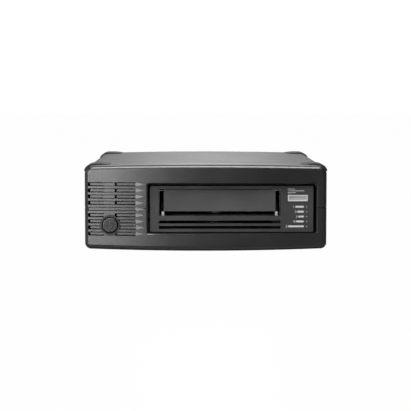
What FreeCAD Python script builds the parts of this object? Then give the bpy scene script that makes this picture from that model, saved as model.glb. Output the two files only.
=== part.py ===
import FreeCAD, Part

import math
import os
from FreeCAD import Vector

# An external tape drive: a half-height drive with a front-loading cartridge slot, set in a
# bowed two-piece desktop case with its own mains supply and fan.
# Millimetres, X to the right, Y to the back, Z up, the origin on the table under the middle.

# Case
CASE_W = 218.0
CASE_D = 270.0
CASE_H = 78.3
BELLY_GAP = 1.3
CROWN = 1.6
FRONT_BOW = 6.0
SIDE_TOP_R = 8.0
SIDE_LOW_R = 5.5
EDGE_R = 4.5
WALL = 2.6
PARTING_RISE = 38.7
PARTING_GROOVE_H = 0.7
PARTING_GROOVE_DEPTH = 1.2
BAFFLE_FROM_FRONT = 37.0
BAFFLE_T = 2.0
BAFFLE_RISE = 4.0
BAFFLE_GAP = 4.8

# Stacking pads and feet
PAD_W = 23.0
PAD_REACH = 37.0
PAD_FROM_FRONT = 9.0
PAD_FROM_REAR = 4.0
PAD_PROUD = 0.4
PAD_SIDE = 0.5
PAD_SEAT = 1.1
PAD_DROP = 7.2
PAD_SIDE_R = 5.5
PAD_CORNER_R = 3.0
PAD_DOME_R = 75.0
PAD_CREST = 7.5
FOOT_R = 9.0
FOOT_FROM_SIDE = 25.0
FOOT_FROM_END = 46.0
FOOT_SEAT = 1.0
FOOT_TAPER = 0.8
FOOT_TAPER_H = 1.5

# Screws that hold the two halves of the case
BOSS_R = 4.2
SCREW_R = 1.5
SCREW_HEAD_R = 2.8
SCREW_HEAD_T = 2.0
SCREW_SLACK = 0.1
SCREW_SINK = 8.0
SCREW_BITE = 12.0
HEX_R = 1.4
HEX_DEPTH = 1.1
LEFT_BOSS_FROM_SIDE = 11.0
RIGHT_BOSS_FROM_SIDE = 7.2
FRONT_BOSS_FROM_END = 24.0
REAR_BOSS_FROM_END = 16.0

# Drive: bezel, cartridge slot and chassis
BEZEL_W = 147.6
BEZEL_H = 42.0
BEZEL_T = 6.0
BEZEL_WALL = 2.0
BEZEL_FROM_SIDE = 11.9
BEZEL_RISE = 16.4
BEZEL_SETBACK = 8.0
BEZEL_R = 1.0
BEZEL_RIM_R = 0.5
BEZEL_RIM_T = 1.6
THROAT_PAST = 2.0
VENT_R = 0.4
PIN_SEAT = 1.3
GAP_LEFT = 1.5
GAP_RIGHT = 2.7
GAP_BELOW = 0.7
GAP_ABOVE = 1.7
MOUTH_CHAMFER = 1.4
MOUTH_WALL = 2.2
SLOT_W = 109.8
SLOT_H = 24.0
SLOT_FROM_LEFT = 8.1
SLOT_FROM_TOP = 3.1
DIP_R = 12.0
DIP_DEPTH = 1.0
DIP_FROM_LEFT = 29.05
DIP_PITCH = 49.55
DOOR_W = 100.6
DOOR_H = 19.7
DOOR_T = 1.6
DOOR_SETBACK = 0.4
DOOR_GAP = 0.2
DOOR_PIN_R = 0.6
DOOR_PIN_BITE = 6.0
DOOR_PIN_PAST = 1.2
DOOR_RIB_T = 0.9
DOOR_RIB_H = 3.0
DOOR_RIB_INSET = 3.0
PIN_FIT = 0.05
VENT_H = 2.7
VENT_FROM_BOTTOM = 3.0
VENT_PITCH = 4.9
BUTTON_W = 18.0
BUTTON_H = 5.7
BUTTON_FROM_RIGHT = 5.15
BUTTON_FROM_BOTTOM = 27.9
BUTTON_PROUD = 0.8
BUTTON_TRAVEL = 1.0
BUTTON_FIT = 0.3
BUTTON_RIM = 1.0
BUTTON_DISH = 0.3
BUTTON_FLANGE = 1.2
BUTTON_FLANGE_T = 1.0
BUTTON_STEM_R = 1.5
BUTTON_STEM_L = 2.2
LAMP_R = 0.5
LAMP_FROM_RIGHT = 6.1
LAMP_FROM_BOTTOM = 5.3
LAMP_PITCH = 4.43
LAMP_COUNT = 5
DRIVE_INSET = 0.8
DRIVE_L = 203.0
DRIVE_WALL = 2.4
COVER_T = 1.0
RAIL_RISE = 6.7
RAIL_T = 1.2
RAIL_FOOT = 12.0
RAIL_LAP = 20.0
RAIL_FROM_END = 12.0
RAIL_SCREW_RISE = 10.0
RAIL_SCREW_Y = (47.0, 127.0)
RAIL_SCREW_BITE = 3.0
RAIL_SCREW_HEAD_T = 1.6
SEAT_W = 14.0
SEAT_L = 16.0
SEAT_FROM_SIDE = 6.0
SEAT_FROM_END = 30.0
SEAT_SINK = 1.5
FLANGE_LAP = 14.0
EMBOSS_W = 72.0
EMBOSS_L = 72.0
EMBOSS_FROM_FRONT = 40.0
EMBOSS_LAND = 1.0
EMBOSS_R = 8.0
EMBOSS_DEPTH = 0.5
COVER_HOLE_R = 1.2
COVER_HOLE_INSET = 8.0
COVER_HOLE_FROM_END = 20.0
COVER_HOLE_MID = 100.0
BOARD_POST_R = 2.8
BOARD_POST_INSET = 2.6
BOARD_CLEAR = 0.5
DRIVE_BOARD_T = 1.2
DRIVE_BOARD_INSET = 0.8
CHIP_W = 24.0
CHIP_T = 1.2
SMALL_CHIP_T = 1.0

# Tape cartridge and what handles it
CARTRIDGE_W = 102.0
CARTRIDGE_H = 21.5
CARTRIDGE_L = 105.4
CARTRIDGE_GAP = 0.7
CARRIAGE_WALL = 1.6
CARRIAGE_LEAD = 6.0
CARRIAGE_STROKE = 12.0
RUNNER_START = 10.0
RUNNER_W = 5.0
RUNNER_LIP_T = 1.6
RUNNER_LIP_H = 3.0
CARRIAGE_BACK_GAP = 2.6
CARRIAGE_FROM_FRONT = 9.0
CARRIAGE_SIDE_PART = 0.8
WINDOW_REACH = 32.0
WINDOW_R = 12.0
CARTRIDGE_FROM_FRONT = 3.0
CARTRIDGE_LIFT = 0.4
FLOOR_GAP = 0.6
RACK_RISE = 4.0
RACK_WEB = 1.8
GEAR_FACE = 3.0
GEAR_NECK_R = 4.0
SHOULDER_R = 3.0
RUN_GAP = 0.3
SHAFT_R = 1.5
SHAFT_FIT = 0.05
RACK_MODULE = 0.8
RACK_T = 5.0
RACK_TEETH = 10
PINION_TEETH = 16
PINION_FROM_FRONT = 61.0
GEAR_MODULE = 0.6
GEAR_TEETH = 32
MOTOR_TEETH = 10
MESH_TURN = 30.0
MOTOR_R = 5.0
MOTOR_SHAFT_R = 0.75
REEL_R = 37.0
REEL_HUB_R = 22.0
REEL_BACK = 2.5
ROTOR_R = 20.0
ROTOR_WALL = 2.0
SPINDLE_R = 3.0
STATOR_R = 23.0
STATOR_T = 2.0
CHUCK_RING_R = 13.0
CHUCK_EYE_R = 9.0
CHUCK_TEETH = 12
TAPE_W = 12.65
ROLLER_R = 5.0
ROLLER_LIP = 1.2
HEAD_TRAVEL = 3.0
HEAD_ROD_REACH = 7.0
ROLLER_FLANGE_T = 1.0
ROLLER_CAP_T = 0.8
ROLLER_BOSS_R = 3.0
REEL_FLANGE_T = 1.0
REEL_SLOT_W = 5.0
REEL_SLOT_L = 7.0
REEL_WINDOWS = 3
REEL_WINDOW_W = 10.0
HEAD_W = 10.0
HEAD_T = 6.0
HEAD_BLOCK_W = 22.0
HEAD_BLOCK_T = 10.0
HEAD_NOSE_R = 2.4
CHUCK_RISE = 3.5
CHUCK_GAP_W = 2.0
CHUCK_TOOTH_H = 1.6

# Power button
POWER_FROM_SIDE = 22.9
POWER_RISE = 23.4
POWER_R = 6.7
POWER_GAP = 0.8
COLLAR_T = 1.7
COLLAR_FACE = 2.7
POWER_PROUD = 0.5
POWER_TRAVEL = 2.0
COLLAR_L = 10.5
FLANGE_T = 1.2
STEM_R = 2.6
STEM_L = 5.0
PLUNGER_R = 1.5
SWITCH_SIZE = 12.0
SWITCH_L = 8.0
SWITCH_LEG = 0.8
SWITCH_LEG_REACH = 4.0
SWITCH_SINK = 3.5
SPRING_R = 4.0
SPRING_WIRE_R = 0.3
SPRING_TURNS = 4
SPRING_END_GAP = 0.1
CAP_RIM_R = 0.8
CAP_WALL = 1.4
CAP_T = 2.4

# Intake grille
GRILLE_FROM_SIDE = 3.1
GRILLE_LEFT_W = 14.2
GRILLE_BLOCK_W = 9.9
GRILLE_RIGHT_W = 18.8
GRILLE_RAMP_W = 7.4
GRILLE_PORT_W = 2.0
GRILLE_ROWS = 9
GRILLE_PITCH = 5.56
GRILLE_BOTTOM_RISE = 15.6
GROOVE_H = 3.7
GROOVE_DEPTH = 1.4
GRILLE_LINE_H = 0.3
GRILLE_BLOCK_SINK = 0.5
GRILLE_SLOT_H = 0.9
GRILLE_WALL = 3.8
GRILLE_CUT_L = 18.0
GRILLE_ZONE_L = 16.0
GRILLE_ZONE_PAST = 1.5

# Rear panel, fan, inlet and ports
PANEL_T = 1.2
PANEL_BORDER = 11.0
PANEL_BORDER_Z = 9.0
PANEL_LAP = 2.8
PANEL_OPENING_R = 2.0
GUARD_RINGS = 4
GUARD_SLOT = 3.6
GUARD_PITCH = 5.4
GUARD_WEB = 3.0
GUARD_FROM_EDGE = 2.5
FAN_SIZE = 60.0
FAN_T = 25.0
FAN_FROM_SIDE = 51.0
FAN_RISE = 39.5
FAN_HUB_R = 13.0
FAN_TIP_GAP = 1.0
FAN_BLADES = 7
FAN_CORNER_R = 4.0
FAN_FLANGE_T = 4.0
FAN_RING_WALL = 1.5
FAN_HOLE_R = 2.1
FAN_HOLE_INSET = 5.0
FAN_STRUT_W = 2.4
FAN_STRUT_T = 2.5
FAN_STRUT_TURN = 20.0
FAN_CUP_T = 3.0
FAN_HUB_WALL = 2.0
FAN_TWIST_ROOT = 38.0
FAN_TWIST_TIP = 24.0
FAN_SCREW_R = 2.0
FAN_SCREW_L = 9.0
FAN_SCREW_HEAD_R = 3.6
FAN_SCREW_HEAD_T = 1.6
INLET_W = 27.0
INLET_H = 19.5
INLET_L = 22.0
INLET_FROM_SIDE = 104.0
INLET_EAR_T = 1.2
INLET_HEAD_T = 1.2
INLET_EAR_W = 49.0
INLET_EAR_H = 22.0
INLET_EAR_R = 3.0
INLET_WALL = 1.5
INLET_BACK_T = 4.0
INLET_SCREW_REACH = 20.0
INLET_CORNER = 0.27
NUT_R = 2.8
NUT_T = 2.2
PIN_W = 2.0
PIN_H = 4.0
PIN_SPREAD = 7.0
PIN_STAGGER = 2.0
PIN_TAIL = 7.0
PIN_SET_IN = 3.0
PORT_W = 26.0
PORT_H = 9.5
PORT_L = 20.0
PORT_PITCH = 34.0
PORT_FROM_SIDE = 62.0
PORT_WALL = 0.6
PORT_PROUD = 1.5
PORT_FIT = 0.2
TONGUE_W = 16.0
TONGUE_T = 1.6
TONGUE_L = 10.0
TONGUE_SET_IN = 4.0
TONGUE_BLOCK_W = 20.0
TONGUE_BLOCK_H = 7.0
PORT_BOARD_PAST = 16.0
PORT_BOARD_L = 24.5
PORT_BOARD_GAP = 1.5
PLUG_L = 5.0
PLUG_H = 5.0
RIBBON_W = 18.0
RIBBON_T = 0.8
RIBBON_FROM_PORT = 4.0
BRACKET_W = 8.0
BRACKET_T = 1.2
BRACKET_DROP = 9.0
BRACKET_REACH = 14.0
BOARD_T = 1.6

# Mains supply behind the grille
SUPPLY_W = 46.0
SUPPLY_L = 170.0
SUPPLY_FROM_SIDE = 6.5
SUPPLY_FROM_FRONT = 50.0
SUPPLY_RISE = 12.7
CORE_W = 34.0
CORE_L = 38.0
CORE_H = 30.0
CORE_LIFT = 3.0
COIL_INSET = 6.0
COIL_Z0 = 7.0
COIL_FROM_TOP = 5.0
COIL_R = 4.0
BOBBIN_INSET = 4.0
BOBBIN_T = 4.0
POST_R = 3.2
POST_BORE = 8.0
POST_INSET = 4.5
BIG_CAN_R = 9.0
BIG_CAN_H = 32.0
BIG_CAN_PITCH = 21.0
BIG_CAN_FROM_SIDE = 15.0
BIG_CAN_FROM_FRONT = 28.0
SMALL_CAN_R = 5.0
SMALL_CAN_H = 20.0
SMALL_CAN_PITCH = 13.0
SMALL_CAN_FROM_SIDE = 9.0
SMALL_CAN_FROM_REAR = 16.0
SMALL_CANS = 3
SINK_L = 44.0
SINK_H = 38.0
SINK_FINS = 7
SINK_REACH = 3.0
SINK_WEB = 1.5
SINK_FIN_T = 3.0
CHOKE_R = 7.5
CHOKE_WIRE_R = 4.0
CHOKE_FROM_SIDE = 19.5
CHOKE_FROM_CORE = 13.5
LEAD_R = 1.6

# Places that follow from the sizes
half_w = CASE_W / 2
front = -CASE_D / 2
rear = CASE_D / 2
case_bottom = BELLY_GAP
case_top = case_bottom + CASE_H
parting_z = case_bottom + PARTING_RISE
bow_r = (half_w**2 + FRONT_BOW**2) / (2 * FRONT_BOW)
crown_r = (half_w**2 + CROWN**2) / (2 * CROWN)

bezel_x1 = half_w - BEZEL_FROM_SIDE
bezel_x0 = bezel_x1 - BEZEL_W
bezel_z0 = case_bottom + BEZEL_RISE
bezel_z1 = bezel_z0 + BEZEL_H
bezel_y0 = front + BEZEL_SETBACK
bezel_y1 = bezel_y0 + BEZEL_T

slot_x0 = bezel_x0 + SLOT_FROM_LEFT
slot_x1 = slot_x0 + SLOT_W
slot_mid = (slot_x0 + slot_x1) / 2
slot_z1 = bezel_z1 - SLOT_FROM_TOP
slot_z0 = slot_z1 - SLOT_H

door_axis_y = bezel_y0 + DOOR_SETBACK + DOOR_T / 2
door_axis_z = slot_z1 - DOOR_GAP - DOOR_T / 2

drive_x0 = bezel_x0 + DRIVE_INSET
drive_x1 = bezel_x1 - DRIVE_INSET
drive_z0 = bezel_z0 + DRIVE_INSET / 2
drive_z1 = bezel_z1 - DRIVE_INSET / 2
drive_y0 = bezel_y1
drive_y1 = drive_y0 + DRIVE_L
base_x0 = drive_x0 + COVER_T
base_x1 = drive_x1 - COVER_T
base_top = drive_z1 - COVER_T
deck_z = drive_z0 + DRIVE_WALL

cartridge_z0 = slot_z0 + CARTRIDGE_LIFT
cartridge_y0 = drive_y0 + CARTRIDGE_FROM_FRONT
carriage_floor_z1 = cartridge_z0 - FLOOR_GAP
carriage_floor_z0 = carriage_floor_z1 - CARRIAGE_WALL
carriage_in_x0 = slot_mid - CARTRIDGE_W / 2 - CARTRIDGE_GAP
carriage_in_x1 = slot_mid + CARTRIDGE_W / 2 + CARTRIDGE_GAP
carriage_x0 = carriage_in_x0 - CARRIAGE_WALL
carriage_x1 = carriage_in_x1 + CARRIAGE_WALL
carriage_y0 = drive_y0 + CARRIAGE_FROM_FRONT
carriage_y1 = cartridge_y0 + CARTRIDGE_L + CARRIAGE_BACK_GAP
carriage_top = cartridge_z0 + CARRIAGE_SIDE_PART * CARTRIDGE_H
hub_y = cartridge_y0 + CARTRIDGE_L / 2 + CARRIAGE_STROKE

reel_y = drive_y1 - DRIVE_WALL - REEL_R - REEL_BACK
reel_x = base_x1 - DRIVE_WALL - REEL_R - 2 * REEL_BACK
tape_z0 = cartridge_z0 + (CARTRIDGE_H - TAPE_W) / 2

power_x = -half_w + POWER_FROM_SIDE
power_z = case_bottom + POWER_RISE
power_bore_r = POWER_R + POWER_GAP
collar_r = power_bore_r + COLLAR_T
collar_y = front + COLLAR_FACE
collar_back = collar_y + COLLAR_L

fan_x = -half_w + FAN_FROM_SIDE
fan_z = case_bottom + FAN_RISE
panel_y1 = rear - WALL
panel_y0 = panel_y1 - PANEL_T

supply_x0 = -half_w + SUPPLY_FROM_SIDE
supply_x1 = supply_x0 + SUPPLY_W
supply_y0 = front + SUPPLY_FROM_FRONT
supply_y1 = supply_y0 + SUPPLY_L
supply_z = case_bottom + SUPPLY_RISE


def box(x0, x1, y0, y1, z0, z1):
    return Part.makeBox(x1 - x0, y1 - y0, z1 - z0, Vector(x0, y0, z0))


def rod_x(r, x0, x1, y, z):
    return Part.makeCylinder(r, x1 - x0, Vector(x0, y, z), Vector(1, 0, 0))


def rod_y(r, y0, y1, x, z):
    return Part.makeCylinder(r, y1 - y0, Vector(x, y0, z), Vector(0, 1, 0))


def rod_z(r, z0, z1, x, y):
    return Part.makeCylinder(r, z1 - z0, Vector(x, y, z0))


def closed_face(points):
    corners = [Vector(*p) for p in points]
    return Part.Face(Part.makePolygon(corners + corners[:1]))


def bar_x(outline, x0, x1):
    """Extrude a closed (y, z) outline along X."""
    return closed_face([(x0, y, z) for y, z in outline]).extrude(Vector(x1 - x0, 0, 0))


def bar_y(outline, y0, y1):
    """Extrude a closed (x, z) outline along Y."""
    return closed_face([(x, y0, z) for x, z in outline]).extrude(Vector(0, y1 - y0, 0))


def bar_z(outline, z0, z1):
    """Extrude a closed (x, y) outline along Z."""
    return closed_face([(x, y, z0) for x, y in outline]).extrude(Vector(0, 0, z1 - z0))


def round_edges(solid, r, along):
    """Round the straight edges that run along one axis."""
    axis = {"x": Vector(1, 0, 0), "y": Vector(0, 1, 0), "z": Vector(0, 0, 1)}[along]
    picked = []
    for edge in solid.Edges:
        ends = [v.Point for v in edge.Vertexes]
        if len(ends) == 2 and isinstance(edge.Curve, Part.Line):
            run = (ends[1] - ends[0]).normalize()
            if abs(abs(run.dot(axis)) - 1) < 1e-6:
                picked.append(edge)
    return solid.makeFillet(r, picked)


def plate_xz(x0, x1, z0, z1, y0, y1, r):
    return round_edges(box(x0, x1, y0, y1, z0, z1), r, "y")


def plate_xy(x0, x1, y0, y1, z0, z1, r):
    return round_edges(box(x0, x1, y0, y1, z0, z1), r, "z")


def one_solid(shape):
    """Give back the single solid of a Boolean result."""
    return shape.Solids[0] if len(shape.Solids) == 1 else shape


def front_y(x):
    """The Y of the bowed front at a given X."""
    return front + bow_r - math.sqrt(bow_r**2 - x**2)


def pipe(points, r):
    """A round lead along straight runs joined by tangent arcs."""
    route = [Vector(*p) for p in points]
    edges = []
    start = route[0]
    for before, corner, after in zip(route, route[1:], route[2:]):
        run_in = corner - before
        run_out = after - corner
        turn = run_in.getAngle(run_out)
        bend = 0.45 * min(run_in.Length, run_out.Length)
        radius = bend / math.tan(turn / 2)
        a = corner - run_in.normalize() * bend
        b = corner + run_out.normalize() * bend
        inward = (run_out - run_in).normalize()
        depth = radius / math.cos(turn / 2) - radius
        edges.append(Part.makeLine(start, a))
        edges.append(Part.Arc(a, corner + inward * depth, b).toShape())
        start = b
    edges.append(Part.makeLine(start, route[-1]))
    path = Part.Wire(edges)
    ring = Part.Wire([Part.makeCircle(r, route[0], route[1] - route[0])])
    return path.makePipeShell([ring], True, False)


def crowned_barrel(half, z1, crown, side_top_r):
    """The case's section with its crowned top and belly, run from front to back."""

    def line(a, b):
        return Part.makeLine(Vector(*a), Vector(*b))

    def arc(a, b, c):
        return Part.Arc(Vector(*a), Vector(*b), Vector(*c)).toShape()

    z0 = case_bottom
    low = z0 + crown
    high = z1 - crown
    section = Part.Wire([
        line((-half, front, low), (-half, front, high)),
        arc((-half, front, high), (0, front, z1), (half, front, high)),
        line((half, front, high), (half, front, low)),
        arc((half, front, low), (0, front, z0), (-half, front, low)),
    ])
    barrel = Part.Face(section).extrude(Vector(0, CASE_D, 0))
    middle = (z0 + z1) / 2
    long_edges = [e for e in barrel.Edges if e.BoundBox.YLength > CASE_D - 1]
    barrel = barrel.makeFillet(side_top_r, [e for e in long_edges if e.BoundBox.ZMin > middle])
    long_edges = [e for e in barrel.Edges if e.BoundBox.YLength > CASE_D - 1]
    return barrel.makeFillet(SIDE_LOW_R, [e for e in long_edges if e.BoundBox.ZMax < middle])


def case_body():
    """The closed case: the barrel with a bowed front, its two ends rounded over."""
    barrel = crowned_barrel(half_w, case_top, CROWN, SIDE_TOP_R)
    bow = rod_z(bow_r, 0, case_top + 10, 0, front + bow_r)
    body = barrel.common(bow)
    ends = []
    for face in body.Faces:
        if face.BoundBox.YMax < front + FRONT_BOW + 1 or face.BoundBox.YMin > rear - 0.01:
            ends += face.Edges
    return one_solid(body.makeFillet(EDGE_R, ends))


def corner_spots(from_side, from_end):
    """The four corners of the case, moved inwards."""
    x = half_w - from_side
    y = rear - from_end
    return [(-x, -y), (x, -y), (-x, y), (x, y)]


def boss_spots():
    left = -half_w + LEFT_BOSS_FROM_SIDE
    right = half_w - RIGHT_BOSS_FROM_SIDE
    y0 = front + FRONT_BOSS_FROM_END
    y1 = rear - REAR_BOSS_FROM_END
    return [(left, y0), (right, y0), (left, y1), (right, y1)]


# Case

def mouth_cutter():
    """The opening that the drive's bezel looks out of."""
    return plate_xz(
        bezel_x0 - GAP_LEFT,
        bezel_x1 + GAP_RIGHT,
        bezel_z0 - GAP_BELOW,
        bezel_z1 + GAP_ABOVE,
        front - 5,
        bezel_y1 + 5,
        BEZEL_R + 0.5,
    )


def mouth_frame():
    """The short tunnel behind that opening."""
    return box(
        bezel_x0 - GAP_LEFT - MOUTH_WALL,
        bezel_x1 + GAP_RIGHT + MOUTH_WALL,
        front - 5,
        bezel_y1 - 0.5,
        bezel_z0 - GAP_BELOW - MOUTH_WALL,
        bezel_z1 + GAP_ABOVE + MOUTH_WALL,
    )


def grille_columns():
    """Where each stretch of the grille starts and ends in X."""
    left0 = -half_w + GRILLE_FROM_SIDE
    left1 = left0 + GRILLE_LEFT_W
    right0 = left1 + GRILLE_BLOCK_W
    right1 = right0 + GRILLE_RIGHT_W
    return left0, left1, right0, right1


def groove_rows():
    return [case_bottom + GRILLE_BOTTOM_RISE + GRILLE_PITCH * i for i in range(GRILLE_ROWS)]


def groove_ramp(x, z):
    """The scoop at the groove's inner end, which narrows to a point at the face."""
    y = front_y(x)
    tip = (x + GRILLE_RAMP_W, front_y(x + GRILLE_RAMP_W) - 0.05)
    plan = bar_z([(x, y - 1), (x, y + GROOVE_DEPTH), tip, (tip[0], y - 1)], z - 5, z + 5)
    half = GROOVE_H / 2
    fan = bar_y([(x, z - half), (tip[0], z), (x, z + half)], y - 1, y + 5)
    return plan.common(fan)


def grille_cutters(case):
    """Grooves in the skin, each with two slots along it and a full-height port per side."""
    skin = case.cut(case.makeOffsetShape(-GROOVE_DEPTH, 0.01))
    thin_skin = case.cut(case.makeOffsetShape(-GRILLE_BLOCK_SINK, 0.01))
    left0, left1, right0, right1 = grille_columns()
    back = front + GRILLE_CUT_L
    half = GROOVE_H / 2
    cutters = []
    for z in groove_rows():
        groove = box(left0, right1, front - 1, back, z - half, z + half)
        block = box(left1, right0, front - 1, back, z - half + GRILLE_LINE_H,
                    z + half - GRILLE_LINE_H)
        cutters.append(groove.cut(block).common(skin))
        cutters.append(block.common(thin_skin))
        cutters.append(groove_ramp(right1, z))
        if abs(z - parting_z) < GRILLE_PITCH / 2:
            continue
        for x0, x1 in ((left0, left1), (right0, right1)):
            cutters.append(box(x0, x1, front - 1, back, z - half, z - half + GRILLE_SLOT_H))
            cutters.append(box(x0, x1, front - 1, back, z + half - GRILLE_SLOT_H, z + half))
        for x0 in (left0, right0):
            cutters.append(box(x0, x0 + GRILLE_PORT_W, front - 1, back, z - half, z + half))
    return cutters


def foot_solid(x, y, z_seat):
    pad = Part.makeCone(FOOT_R - FOOT_TAPER, FOOT_R, FOOT_TAPER_H, Vector(x, y, 0))
    return pad.fuse(rod_z(FOOT_R, FOOT_TAPER_H, z_seat, x, y)).removeSplitter()


def belly_z(x):
    """The Z of the crowned underside at a given X."""
    return case_bottom + crown_r - math.sqrt(crown_r**2 - x**2)


def make_feet():
    seat = belly_z(half_w - FOOT_FROM_SIDE) + FOOT_SEAT
    spots = corner_spots(FOOT_FROM_SIDE, FOOT_FROM_END)
    return [foot_solid(x, y, seat) for x, y in spots]


def make_pads(case):
    """Four soft corner caps let into the case's top, each domed towards the middle."""
    top = case_top + PAD_PROUD
    proud = crowned_barrel(half_w + PAD_SIDE, top, CROWN / 4, PAD_SIDE_R)
    seat = case.makeOffsetShape(-PAD_SEAT, 0.01)
    spans = ((front + PAD_FROM_FRONT, front + PAD_REACH), (rear - PAD_REACH, rear - PAD_FROM_REAR))
    pads = []
    for side in (-1, 1):
        x0, x1 = sorted((side * (half_w - PAD_W), side * (half_w + 5)))
        crest = side * (half_w - PAD_CREST)
        dome = rod_y(PAD_DOME_R, front, rear, crest, top - PAD_DOME_R)
        for y0, y1 in spans:
            corner = plate_xy(x0, x1, y0, y1, top - PAD_DROP, top + 5, PAD_CORNER_R)
            pads.append(one_solid(proud.common(corner).common(dome).cut(seat)))
    return pads


def make_case(case, pads, feet):
    """The case as one hollow shell, before it is split in two."""
    cavity = case.makeOffsetShape(-WALL, 0.01)
    deep = case.makeOffsetShape(-GRILLE_WALL, 0.01)

    outside = case.cut(mouth_cutter())
    mouth_z = (bezel_z0 - GAP_BELOW - 1, bezel_z1 + GAP_ABOVE + 1)
    mouth_x = (bezel_x0 - GAP_LEFT - 1, bezel_x1 + GAP_RIGHT + 1)
    rim = []
    for edge in outside.Edges:
        bounds = edge.BoundBox
        inside_x = mouth_x[0] < bounds.XMin and bounds.XMax < mouth_x[1]
        inside_z = mouth_z[0] < bounds.ZMin and bounds.ZMax < mouth_z[1]
        if inside_x and inside_z and bounds.YMax < front + FRONT_BOW + 1:
            rim.append(edge)
    outside = outside.makeChamfer(MOUTH_CHAMFER, rim)

    grille_x1 = grille_columns()[3] + GRILLE_RAMP_W + GRILLE_ZONE_PAST
    zone_y = front + GRILLE_ZONE_L
    thick = box(-half_w - 1, grille_x1, front - 1, zone_y, 0, case_top + 1).cut(deep)
    cavity = cavity.cut(mouth_frame()).cut(thick)
    for x, y in boss_spots():
        cavity = cavity.cut(rod_z(BOSS_R, 0, case_top + 1, x, y))
    shell = outside.cut(cavity).cut(grille_cutters(case)).fuse(air_baffle(case))
    return shell.cut(rear_opening()).cut(pads).cut(feet)


def air_baffle(case):
    """A plate behind the intake that hangs from the roof and turns the air down."""
    y0 = front + BAFFLE_FROM_FRONT
    plate = box(-half_w, drive_x0 - BAFFLE_GAP, y0, y0 + BAFFLE_T, parting_z + BAFFLE_RISE,
                case_top)
    return plate.common(case.makeOffsetShape(-WALL / 2, 0.01))


def rear_opening():
    return plate_xz(
        -half_w + PANEL_BORDER,
        half_w - PANEL_BORDER,
        case_bottom + PANEL_BORDER_Z,
        case_top - PANEL_BORDER_Z,
        rear - WALL - 5,
        rear + 5,
        PANEL_OPENING_R,
    )


def parting_cutter(case):
    """A shallow groove all round, where the two halves meet."""
    half = PARTING_GROOVE_H / 2
    around = case.cut(case.makeOffsetShape(-PARTING_GROOVE_DEPTH, 0.01))
    band = box(-half_w - 1, half_w + 1, front - 1, rear + 1, parting_z - half, parting_z + half)
    return around.common(band)


def floor_seats():
    """Ribs and posts that rise from the floor of the lower half."""
    seats = []
    z0 = case_bottom + SEAT_SINK
    for x in (drive_x0 + SEAT_FROM_SIDE, drive_x1 - SEAT_FROM_SIDE):
        for y in (drive_y0 + SEAT_FROM_END, drive_y1 - SEAT_FROM_END):
            seats.append(box(x - SEAT_W / 2, x + SEAT_W / 2, y - SEAT_L / 2, y + SEAT_L / 2, z0,
                             rail_z()))
    for x, y in supply_posts():
        post = rod_z(POST_R, z0, supply_z, x, y)
        seats.append(post.cut(rod_z(SCREW_R, supply_z - POST_BORE, supply_z + 1, x, y)))
    return seats


def rail_z():
    return case_bottom + RAIL_RISE


def supply_posts():
    xs = (supply_x0 + POST_INSET, supply_x1 - POST_INSET)
    ys = (supply_y0 + POST_INSET, supply_y1 - POST_INSET)
    return [(x, y) for x in xs for y in ys]


def make_shells(case, shell, feet):
    cut_low = box(-half_w - 5, half_w + 5, front - 5, rear + 5, -5, parting_z)
    cut_high = box(-half_w - 5, half_w + 5, front - 5, rear + 5, parting_z, case_top + 10)
    groove = parting_cutter(case)
    lower = shell.common(cut_low).cut(groove)
    upper = shell.common(cut_high).cut(groove)

    collar = rod_y(collar_r, collar_y, collar_back, power_x, power_z)
    bore = rod_y(power_bore_r, collar_y - 5, collar_back + 1, power_x, power_z)
    lower = lower.fuse([collar] + floor_seats()).cut([bore] + feet)
    for x, y in boss_spots():
        head_z = belly_z(x) + SCREW_SINK
        lower = lower.cut(rod_z(SCREW_R + SCREW_SLACK, 0, parting_z + 1, x, y))
        lower = lower.cut(rod_z(SCREW_HEAD_R + RUN_GAP, 0, head_z, x, y))
        pilot = rod_z(SCREW_R + SCREW_SLACK / 4, parting_z - 1, parting_z + SCREW_BITE + 2, x, y)
        upper = upper.cut(pilot)
    return one_solid(lower.removeSplitter()), one_solid(upper.removeSplitter())


def make_case_screws():
    screws = []
    for x, y in boss_spots():
        z = belly_z(x) + SCREW_SINK
        head = rod_z(SCREW_HEAD_R, z - SCREW_HEAD_T, z, x, y)
        head_z = z - SCREW_HEAD_T
        recess = bar_z(hexagon(HEX_R, x, y), head_z - 1, head_z + HEX_DEPTH)
        shank = rod_z(SCREW_R, z, parting_z + SCREW_BITE, x, y)
        screws.append(head.fuse(shank).cut(recess))
    return screws


def hexagon(r, x, y):
    turns = [math.pi / 3 * i for i in range(6)]
    return [(x + r * math.cos(t), y + r * math.sin(t)) for t in turns]


# Power button

def make_power_button():
    """A domed cap on a hollow skirt, with a flange that stops it behind the collar."""
    face = collar_y - POWER_PROUD
    cap = rod_y(POWER_R, face, collar_back - 1, power_x, power_z)
    rim = [e for e in cap.Edges if e.BoundBox.YMax < face + 0.1]
    cap = cap.makeFillet(CAP_RIM_R, rim)
    hollow = rod_y(POWER_R - CAP_WALL, face + CAP_T, collar_back, power_x, power_z)
    stem = rod_y(STEM_R, face + 2, power_stem_end(), power_x, power_z)
    flange = rod_y(collar_r - RUN_GAP, collar_back + RUN_GAP, collar_back + RUN_GAP + FLANGE_T,
                   power_x, power_z)
    skirt = rod_y(POWER_R, collar_back - 2, collar_back + RUN_GAP + 1, power_x, power_z)
    button = cap.cut(hollow).fuse([skirt, flange, stem])
    return one_solid(button.removeSplitter())


def power_stem_end():
    return collar_back + RUN_GAP + FLANGE_T + STEM_L


def power_switch_y():
    """The front of the switch, clear of the stem when the button is pressed home."""
    return power_stem_end() + POWER_TRAVEL + 2 * RUN_GAP


def make_power_plunger():
    y0 = power_stem_end()
    y1 = power_switch_y() + SWITCH_SINK
    return rod_y(PLUNGER_R, y0, y1, power_x, power_z)


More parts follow.
